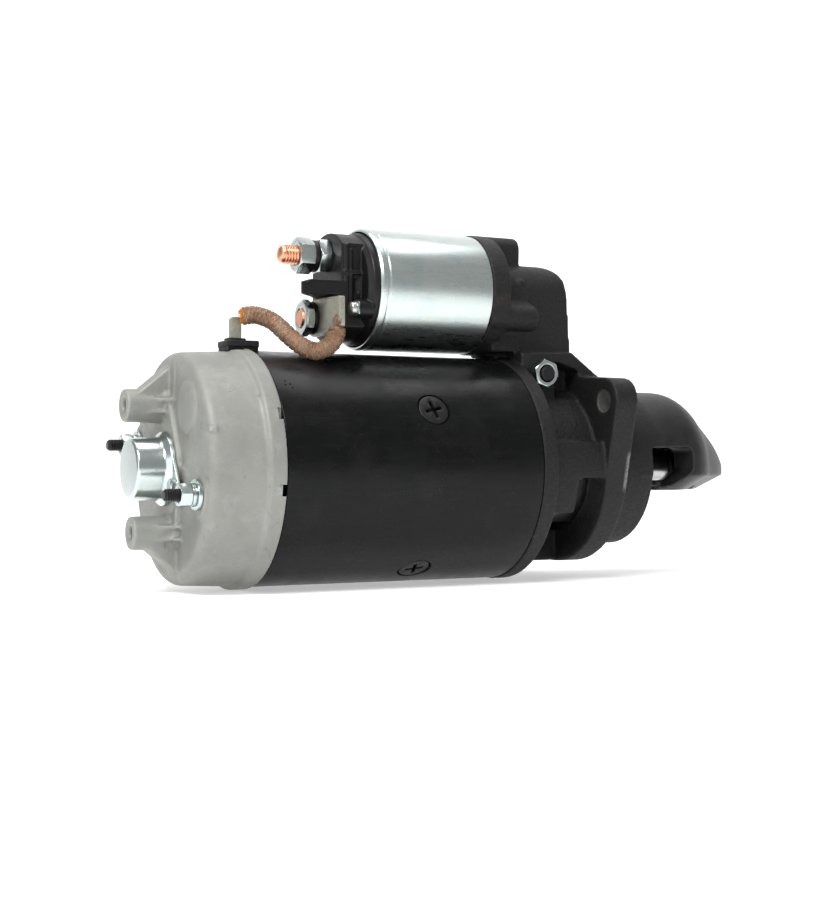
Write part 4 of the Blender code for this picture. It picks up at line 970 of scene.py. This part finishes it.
def housing_casting():
    """The ring, drum, flange with ears, hood and solenoid seat, as one casting."""
    ring_x = YOKE_END_X + 0.3
    body = [(-68, 0), (-68, 40), (ring_x, 40), (ring_x, 58), (RING_END_X, 58), (RING_END_X, 42)]
    body += [(-6, 42), (-6, PILOT_R), (PILOT_END_X, PILOT_R), (PILOT_END_X, 0)]
    body = lathe(body, 144)
    ears = [circle(*polar(EAR_CIRCLE_R, angle), EAR_R) for angle in EAR_ANGLES]
    flange = prism(hull(circle(0, 0, DRUM_R, 144), *ears), "X", FLANGE_REAR_X, 0)
    shoulders = [(side * DRUM_R * 0.95, DRUM_TOP) for side in (-1, 1)]
    rim = hull(shoulders, arc(0, 0, DRUM_R - 0.4, 164, 376, 90))
    drum = prism(rim, "X", RING_END_X - 1, -2)
    shoulder_side = [(RING_END_X - 1, 20), (RING_END_X - 1, 60), (-17, 61), (-0.4, 48.9), (-0.4, 20)]
    shoulder = prism(shoulder_side, "Y", -SHOULDER_Y, SHOULDER_Y, bevel=0.8)
    lumps = ((-44, -16.6, 97, 1.6), (-35, -17.2, 84, 1.3), (-50, -16.8, 82, 1.4), (-25, -49.6, -30, 1.2))
    bumps = [rod("Y", (x, z), r, y - 1.0, y + 2, 16, end_radius=r * 1.6) for x, y, z, r in lumps]
    joins = [flange, drum, shoulder, nose_hood(), *solenoid_seat(), *bumps]
    solid = cast(combined(body, joins, housing_cuts()), 0.8, 5, 0.33)
    piece("housing_casting", solid, "cast_black", "drive_end_housing", angle=None)


def lever_pivot():
    """The bolt that the engagement lever swings on, and its nut on the near side."""
    shank = rod("Y", (PIVOT_X, PIVOT_Z), 3.95, -SHOULDER_Y - 6.9, SHOULDER_Y + 1, 48)
    tip = rod("Y", (PIVOT_X, PIVOT_Z), 3.3, -SHOULDER_Y - 7.2, -SHOULDER_Y - 6.8, 48, end_radius=3.95)
    head = prism(circle(PIVOT_X, PIVOT_Z, 7.5, 6), "Y", SHOULDER_Y + 0.3, SHOULDER_Y + 5.5, 0.3)
    piece("pivot_bolt", combined(shank, joins=[tip, head]), "black_bolt", "lever_pivot_bolt")
    made = nut(-6.0, -0.3, 0, 0, 13.0, 4.0, 10, both=False)
    made.data.transform(SWAP_XY)
    made.data.transform(Matrix.Translation((PIVOT_X * MM, -SHOULDER_Y * MM, PIVOT_Z * MM)))
    piece("pivot_nut", outward(made), "zinc", "lever_pivot_nut")


def drive_parts():
    """The turned pieces that show through the windows."""
    bore = SHAFT_R + 0.35
    rear = [(SHIELD_X - 10.5, 0), (SHIELD_X - 11, 5.8), (-210, 5.8), (-210, 8), (-180.8, 8), (-180.8, 9.5)]
    middle = [(-67, 9.5), (-67, 8.6), (-50.6, 8.6), (-50.6, SHAFT_R), (69.5, SHAFT_R)]
    front = [(69.5, 6.0), (83.5, 6.0), (84.5, 5.0), (84.5, 0)]
    piece("turned_shaft", lathe(rear + middle + front, 96), "steel", "armature_shaft", rides="armature")
    ring = tube(58.6, 63.0, 9.6, bore, 96, soft=0.5)
    piece("stop_collar", ring, "black_bolt", "shaft_stop_ring", rides="armature")
    rear = [(-26.8, 18, 0.5), (-25.8, CLUTCH_R - 2, 0.6), (-23.8, CLUTCH_R, 1)]
    groove = [(-4, CLUTCH_R, 0.3), (-3.2, CLUTCH_R - 0.7, 0.2), (-2.4, CLUTCH_R, 0.3)]
    front = [(12.5, CLUTCH_R, 1), (14.5, CLUTCH_R - 2, 0.6), (14.5, 15.2, 0.4)]
    inside = [(11.5, 15.2), (11.5, 17.2), (-9.0, 17.2), (-9.0, 12.8), (-26.8, 12.8)]
    shell = lathe(filleted(rear + groove + front + inside), 128)
    piece("clutch_shell", shell, "ground", "clutch_housing", rides="drive")
    points = []
    pitch = 360 / TEETH
    flank = [(0.14, PINION_R), (0.21, 17.2), (0.27, 15.2)]
    flank += [(0.33, PINION_ROOT_R + 0.5), (0.40, PINION_ROOT_R)]
    for i in range(TEETH):
        middle = pitch * i
        points += [polar(radius, middle - pitch * share) for share, radius in flank[::-1]]
        points += arc(0, 0, PINION_R, middle - pitch * 0.10, middle + pitch * 0.10, 3)
        points += [polar(radius, middle + pitch * share) for share, radius in flank]
    gear = prism(turned_outline(points, -90), "X", *PINION_X, 0.25, holes=[circle(0, 0, bore)])
    neck = tube(-8.0, PINION_X[0] + 1, 12.4, bore + 0.05, 96)
    race = tube(-8.0, 10.8, 16.4, bore + 0.1, 96)
    end = PINION_X[1]
    chamfer = lathe([(end - 2.0, 21.5), (end + 1, 21.5), (end + 1, 15.5)], 96)
    solid = combined(gear, joins=[neck, race], cuts=[chamfer])
    piece("pinion_gear", solid, "ground", "pinion", rides="pinion")


# ---------------------------------------------------------------- solenoid


def solenoid_can():
    """The drawn can: a rolled bead and groove at its open end, threaded holes in its floor."""
    x0, x1 = CAN_X
    groove_r, side_r = SOL_R - 0.35, SOL_R - 0.05
    bead = [(0, 29.15, 0.2), (0, 30.1, 0.5), (1.4, SOL_R, 0.9), (3.2, SOL_R, 0.5)]
    groove = [(3.9, groove_r, 0.5), (4.8, groove_r, 0.5), (5.6, side_r, 0.6)]
    floor = shifted(x1, [(0, side_r, 0.4), (0, 11.9), (-4, 11.9), (-4, 29.7)])
    lip = shifted(x0, [(1.3, 29.7), (1.3, 29.2)])
    profile = filleted([*shifted(x0, bead + groove), *floor, *lip])
    threads = []
    for angle in SCREW_ANGLES:
        y, z = polar(SCREW_CIRCLE_R, angle)
        threads.append(rod("X", (y, z + SOL_Z), 2.9, x1 - 6, x1 + 2, 20))
    solid = combined(lathe(profile, 224, SOL_Z), cuts=threads)
    piece("can_shell", solid, "can", "solenoid_can")


def cap_moulding():
    """The moulded cap: disc, cut-down drum, shelf, walls between the terminals and its hollows."""
    edge = [(-127.6, 0), (-127.6, 29.0), (-131.0, 29.0), (-131.4, 28.6)]
    edge += [(-134.6, 28.0), (-135.2, 27.2), (-137.0, 25.4), (-137.0, 0)]
    disc = lathe(edge, 128, SOL_Z)
    drum = rod("X", (0, SOL_Z), 27.3, CAP_X, -136, 128)
    block = combined(drum, joins=[box((CAP_X - 2, -18, 40), (-130, 18, 140))], operation="INTERSECT")
    plan = [(-169.6, -19), (CAP_X + 2, -19), (CAP_X + 2, 5), (-152, 5), (-160, -6), (-168.2, -14.5)]
    shelf = prism(plan, "Z", 84.9, 92.2, 0.5)
    step = prism([(-172, 91.0), (-166.4, 91.0), (-163.8, 93), (-163.8, 95), (-172, 95)], "Y", -21, 6)
    boss = rod("X", DOME_SCREW, 4.6, -142.6, -134, 48)
    joins = [block, shelf, boss]
    joins.append(box((-146.0, -19.0, 76.0), (-144.4, -17, 110.5)))
    joins.append(box((-143.4, -18.6, 78.0), (-142.2, -17, 108)))
    joins.append(box((CAP_X + 0.4, -19.2, 95.6), (-137, -17, 97.4)))
    joins.append(rod("X", (0, BATTERY_Z), 8.8, CAP_X - 0.25, CAP_X + 3, 64))
    rear_room = rod("X", (0, SOL_Z), 23.5, -143.4, -134, 64)
    between_walls = box((-145, -15.4, 40), (-130, 15.4, 140))
    rear_room = combined(rear_room, joins=[between_walls], operation="INTERSECT")
    cuts = [rear_room, rod("X", (0, SOL_Z), 23.5, -136.6, -121, 96), step]
    cuts += [rod("X", (0, z), 5.4, -150, -140, 48) for z in (BATTERY_Z, MOTOR_Z)]
    cuts.append(rod("X", DOME_SCREW, 1.6, -146, -138, 24))
    cuts.append(box((-141.2, -21, 86.6), (-138.6, -16.9, 93.4)))
    solid = cast(combined(disc, joins, cuts), 0.42, 3, 0.4)
    piece("cap_moulding", solid, "phenolic", "solenoid_cap", angle=None)


def terminals():
    """The two studs with their nuts and spring washers, and the small control terminal."""
    studs = (("battery_stud", BATTERY_Z, -174.1, 3.0), ("motor_stud", MOTOR_Z, -162.6, 0.0))
    for name, z, tip, dome in studs:
        lead = 0.0 if dome else 1.4
        thread = screw_thread(tip, -143.5, 0, z, 4.9, 1.5, 0.6, (lead, 0.8), 56, 10, dome)
        head = prism(hexagon(0, z, 12.2), "X", -143.6, -139.9, 0.3)
        piece(f"{name}_thread", joined([thread, head], name), "copper", name)
    made = nut(-165.1, -156.8, 0, BATTERY_Z, 16.0, 4.75, 0)
    split = spring_washer(-156.7, -154.6, 0, BATTERY_Z, 8.0, 5.2, 250)
    dress_two("battery_nut_set", made, "zinc", split, "black_bolt", "battery_nut")
    made = nut(-154.2, CAP_X - 0.5, 0, BATTERY_Z, 16.0, 4.75, 30)
    piece("battery_locknut", made, "zinc", "battery_stud_locknut")
    made = nut(-162.0, -157.5, 0, MOTOR_Z, 16.0, 4.75, 5)
    split = spring_washer(-157.4, -155.4, 0, MOTOR_Z, 8.2, 5.2, 60)
    dress_two("motor_nut_set", made, "zinc", split, "black_bolt", "motor_nut")
    y, z = DOME_SCREW
    head = [(-146.3, 0), (-146.2, 1.6, 1), (-145.2, 3.1, 1.2), (-142.9, 3.5, 0.2), (-142.9, 0)]
    dome_head = lathe(filleted(head, closed=False, steps=6), 64, z, y)
    shank = rod("X", (y, z), 1.3, -143.6, -138.6, 24)
    tab = prism(rounded(y - 4.4, z - 3.2, y + 6.4, z + 3.2, 0.6), "X", -142.85, -142.05, 0.15)
    washer = rod("X", (y, z), 3.9, -143.0, -142.5, 48)
    piece("dome_screw", joined([dome_head, shank, washer], "dome"), "ground", "control_terminal_screw")
    piece("spade_tab", tab, "zinc", slot="zinc")


def dress_two(name, first, look, second, other, replaced):
    """Two meshes as one piece with a material each."""
    count = len(first.data.polygons)
    obj = joined([first, second], name)
    piece(name, obj, look, replaced)
    obj.data.materials.append(LOOKS[other])
    for face in obj.data.polygons:
        face.material_index = 0 if face.index < count else 1


def lug_plate():
    """A pressed eye with the lead welded to the foot of its tab."""
    eye = circle(0, MOTOR_Z, 9.2)
    tab = filleted([(-31.0, 68.4, 1.6), (-31.0, 83.4, 1.2), (-12, 84.0), (-12, 66.2)])
    plate = prism(hull(eye, tab), "X", *LUG_X, 0.35, holes=[circle(0, MOTOR_Z, 5.4)])
    weld = bpy.data.meshes.new("weld")
    work = bmesh.new()
    bmesh.ops.create_icosphere(work, subdivisions=4, radius=1.0)
    for vert in work.verts:
        lump = 1 + 0.22 * noise.noise(vert.co * 2.1) + 0.08 * noise.noise(vert.co * 6.0)
        grown = Vector((vert.co.x * 1.5, vert.co.y * 3.9, vert.co.z * 3.3))
        vert.co = Vector((-154.9, -27.6, 71.0)) * MM + grown * (lump * MM)
    work.to_mesh(weld)
    work.free()
    weld = new_object("weld", weld)
    spacer = tube(-152.4, CAP_X - 0.5, 8.6, 5.3, 80, MOTOR_Z)
    solid = combined(plate, joins=[spacer])
    dress_two("lug_sheet", solid, "tinned", weld, "weld", "cable_lug")


# Route of the lead's centre line, from the terminal strip round to the lug
LEAD_ROUTE = (
    (-195.0, -5.9, 73.8), (-188.1, -6.8, 74.4), (-180.7, -10.0, 71.2), (-174.3, -15.5, 63.8),
    (-169.9, -22.3, 58.4), (-164.9, -26.0, 56.6), (-159.0, -28.5, 59.4), (-156.0, -29.0, 64.6),
    (-155.4, -28.7, 67.9),
)  # fmt: skip


def smooth_path(points, parts_each):
    knots = [Vector(p) for p in points]
    knots = [2 * knots[0] - knots[1], *knots, 2 * knots[-1] - knots[-2]]
    out = []
    for a, b, c, d in zip(knots, knots[1:], knots[2:], knots[3:]):
        for i in range(parts_each):
            t = i / parts_each
            squared = (2 * a - 5 * b + 4 * c - d) * t**2
            cubed = (3 * b - a - 3 * c + d) * t**3
            out.append(0.5 * (2 * b + (c - a) * t + squared + cubed))
    return [*out, knots[-2]]


def carried_frames(path):
    """A steady pair of cross directions along the path."""
    frames = []
    side = Vector((0, 0, 1))
    for i, point in enumerate(path):
        ahead = (path[min(i + 1, len(path) - 1)] - path[max(i - 1, 0)]).normalized()
        side = (side - ahead * side.dot(ahead)).normalized()
        frames.append((point, side, ahead.cross(side)))
    return frames


def braided_lead():
    """Flat strands woven over and under round the route, over a core coloured dark as painted shade in the
    gaps between the strands.
    """
    frames = carried_frames(smooth_path(LEAD_ROUTE, 34))
    last = len(frames) - 1
    strands, radius, turns = 10, 3.95, 5.0
    verts, faces, materials = [], [], []

    def surface(i, angle, r):
        point, side, other = frames[i]
        flat = max(0.0, (i - last * 0.86) / (last * 0.14))
        wide, deep = 1 + 0.28 * flat, 1 - 0.42 * flat
        offset = side * math.cos(angle) * r * wide + other * math.sin(angle) * r * deep
        across = Vector((1, 0, 0))
        offset -= across * offset.dot(across) * (0.35 * flat)
        return point + offset

    for direction in (1, -1):
        for s in range(strands):
            begin = len(verts)
            for i in range(last + 1):
                t = i / last
                middle = math.tau * (s / strands + direction * turns * t)
                weave = math.sin(math.tau * t * turns * strands + math.pi * s)
                r = radius + 0.36 * weave * direction
                for w in (-1.0, -0.55, 0.0, 0.55, 1.0):
                    crown = 0.22 * (1 - w * w)
                    verts.append(tuple(surface(i, middle + w * math.tau / strands * 0.40, r + crown)))
            for i in range(last):
                for k in range(4):
                    a = begin + i * 5 + k
                    faces.append((a, a + 1, a + 6, a + 5))
                    materials.append(0 if (s + (direction > 0)) % 4 else 1)
    # The core is coloured darker than the strands: painted shade showing in the gaps of the weave
    begin = len(verts)
    around = 24
    for i in range(last + 1):
        for k in range(around):
            verts.append(tuple(surface(i, math.tau * k / around, radius - 0.35)))
    core = bridged(last + 1, around, begin)
    faces += core
    materials += [2] * len(core)
    for start in (begin, begin + last * around):
        faces.append([start + k for k in range(around)])
        materials.append(3)
    obj = raw_faces("woven_lead", verts, faces)
    random.seed(7)
    wires = []
    start, side, other = frames[0]
    back = (frames[0][0] - frames[3][0]).normalized()
    for _ in range(60):
        a, r = random.uniform(0, math.tau), 3.5 * math.sqrt(random.random())
        root = start + side * math.cos(a) * r + other * math.sin(a) * r
        bend = side * random.uniform(-0.5, 0.5) + other * random.uniform(-0.5, 0.5)
        tip = root + back * random.uniform(0.5, 1.7) + bend
        wires.append(wire([root - back * 1.5, root, tip], 0.24))
    frayed = joined(wires, "frayed")
    count = len(obj.data.polygons)
    work = bmesh.new()
    work.from_mesh(obj.data)
    work.from_mesh(frayed.data)
    bpy.data.objects.remove(frayed)
    work.to_mesh(obj.data)
    work.free()
    piece("woven_lead", obj, BRAID_LOOKS[0], "braided_lead", angle=60)
    for look in BRAID_LOOKS[1:]:
        obj.data.materials.append(look)
    for face in obj.data.polygons:
        face.material_index = materials[face.index] if face.index < count else 3


def wire(points, radius, sides=6):
    """A short bent rod through a few points."""
    frames = carried_frames(points)
    verts = []
    for point, side, other in frames:
        for k in range(sides):
            a = math.tau * k / sides
            verts.append(tuple(point + (side * math.cos(a) + other * math.sin(a)) * radius))
    faces = bridged(len(frames), sides)
    faces.append(list(range(sides)))
    faces.append([(len(frames) - 1) * sides + k for k in range(sides)][::-1])
    return from_faces("wire", verts, faces)


def braid_look(name, base, second, metallic, roughness):
    m = Look(name, base, roughness, metallic)
    m.tint(second, m.cloud(2.2, 0.42, 0.66, 4), 0.85)
    m.tint((0.10, 0.05, 0.03), m.cloud(0.8, 0.55, 0.72, 3, 0.6, place=(4, 2, 2)), 0.55)
    m.rough(roughness + 0.2, m.cloud(1.0, 0.45, 0.7, 3), 0.7)
    m.bump(m.noise(0.35, 3), 0.12)
    return m.done()


BRAID_LOOKS = [
    braid_look("braid_copper", (0.40, 0.225, 0.14), (0.27, 0.17, 0.11), 0.4, 0.45),
    braid_look("braid_olive", (0.30, 0.275, 0.205), (0.37, 0.25, 0.16), 0.4, 0.48),
    # Core colour: painted shade between the strands, darker than the copper of the strands
    braid_look("braid_core_painted_shade", (0.15, 0.08, 0.05), (0.22, 0.14, 0.08), 0.4, 0.6),
    braid_look("braid_ends", (0.72, 0.26, 0.06), (0.62, 0.38, 0.10), 0.6, 0.4),
]

MAKERS = (
    shield_casting, rear_cup, through_bolts, motor_body, terminal, housing_casting, lever_pivot,
    drive_parts, solenoid_can, cap_moulding, terminals, lug_plate, braided_lead,
)  # fmt: skip
for make in MAKERS:
    make()


# ---------------------------------------------------------------- stage, light and camera


YAW = math.radians(27.81)


def stage():
    """A pale floor that curves up into a backdrop."""
    low = min(corner[2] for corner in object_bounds()) / MM - 0.2
    far, side = 1500, 2600
    profile = filleted([(-2600, low), (far, low, 600), (far, 2400)], closed=False, steps=24)
    direction = Vector((math.sin(YAW), math.cos(YAW), 0))
    across = Vector((math.cos(YAW), -math.sin(YAW), 0))
    verts, faces = [], []
    for along, z in profile:
        for s in (-side, side):
            p = direction * along + across * s
            verts.append((p.x, p.y, z))
    for i in range(len(profile) - 1):
        faces.append((2 * i, 2 * i + 1, 2 * i + 3, 2 * i + 2))
    obj = raw_faces("backdrop", verts, faces)
    m = Look("studio_paper", (0.93, 0.93, 0.93), 0.85, 0.0, 0.1)
    m.tint((0.90, 0.90, 0.90), m.cloud(300, 0.4, 0.7, 2), 0.3)
    m.surface.inputs["Emission Color"].default_value = (1, 1, 1, 1)
    m.surface.inputs["Emission Strength"].default_value = 0.42
    obj.data.materials.append(m.done())
    obj.data.shade_smooth()
    obj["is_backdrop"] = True


def area_light(name, place, target, size, power):
    data = bpy.data.lights.new(name, "AREA")
    data.shape = "RECTANGLE"
    data.size, data.size_y = size
    data.energy = power
    obj = bpy.data.objects.new(name, data)
    obj.location = place
    obj.rotation_euler = (Vector(target) - Vector(place)).to_track_quat("-Z", "Y").to_euler()
    bpy.context.scene.collection.objects.link(obj)


def lights():
    world = bpy.data.worlds.new("studio")
    world.use_nodes = True
    world.node_tree.nodes["Background"].inputs["Color"].default_value = (1, 1, 1, 1)
    world.node_tree.nodes["Background"].inputs["Strength"].default_value = 0.42
    bpy.context.scene.world = world
    area_light("key", (-0.75, -0.75, 1.05), (-0.06, 0, 0.03), (0.8, 0.4), 17)
    area_light("fill", (-1.3, -0.6, 0.2), (-0.15, 0, 0), (0.8, 0.8), 3)
    area_light("top", (-0.05, 0.1, 1.1), (-0.08, 0, 0), (1.2, 0.6), 7)


def camera():
    data = bpy.data.cameras.new("view")
    data.lens, data.sensor_width = 61.8, 36.0
    data.clip_start, data.clip_end = 0.02, 50
    obj = bpy.data.objects.new("view", data)
    bpy.context.scene.collection.objects.link(obj)
    pitch, roll = math.radians(0.55), math.radians(-0.06)
    forward = Vector((math.sin(YAW) * math.cos(pitch), math.cos(YAW) * math.cos(pitch), math.sin(pitch)))
    turned = forward.to_track_quat("-Z", "Y").to_matrix() @ Matrix.Rotation(roll, 3, "Z")
    obj.matrix_world = Matrix.Translation((-0.4669, -0.7040, 0.0023)) @ turned.to_4x4()
    bpy.context.scene.camera = obj


stage()
lights()
camera()
view = bpy.context.scene.view_settings
view.view_transform = "Standard"
view.look = "None"
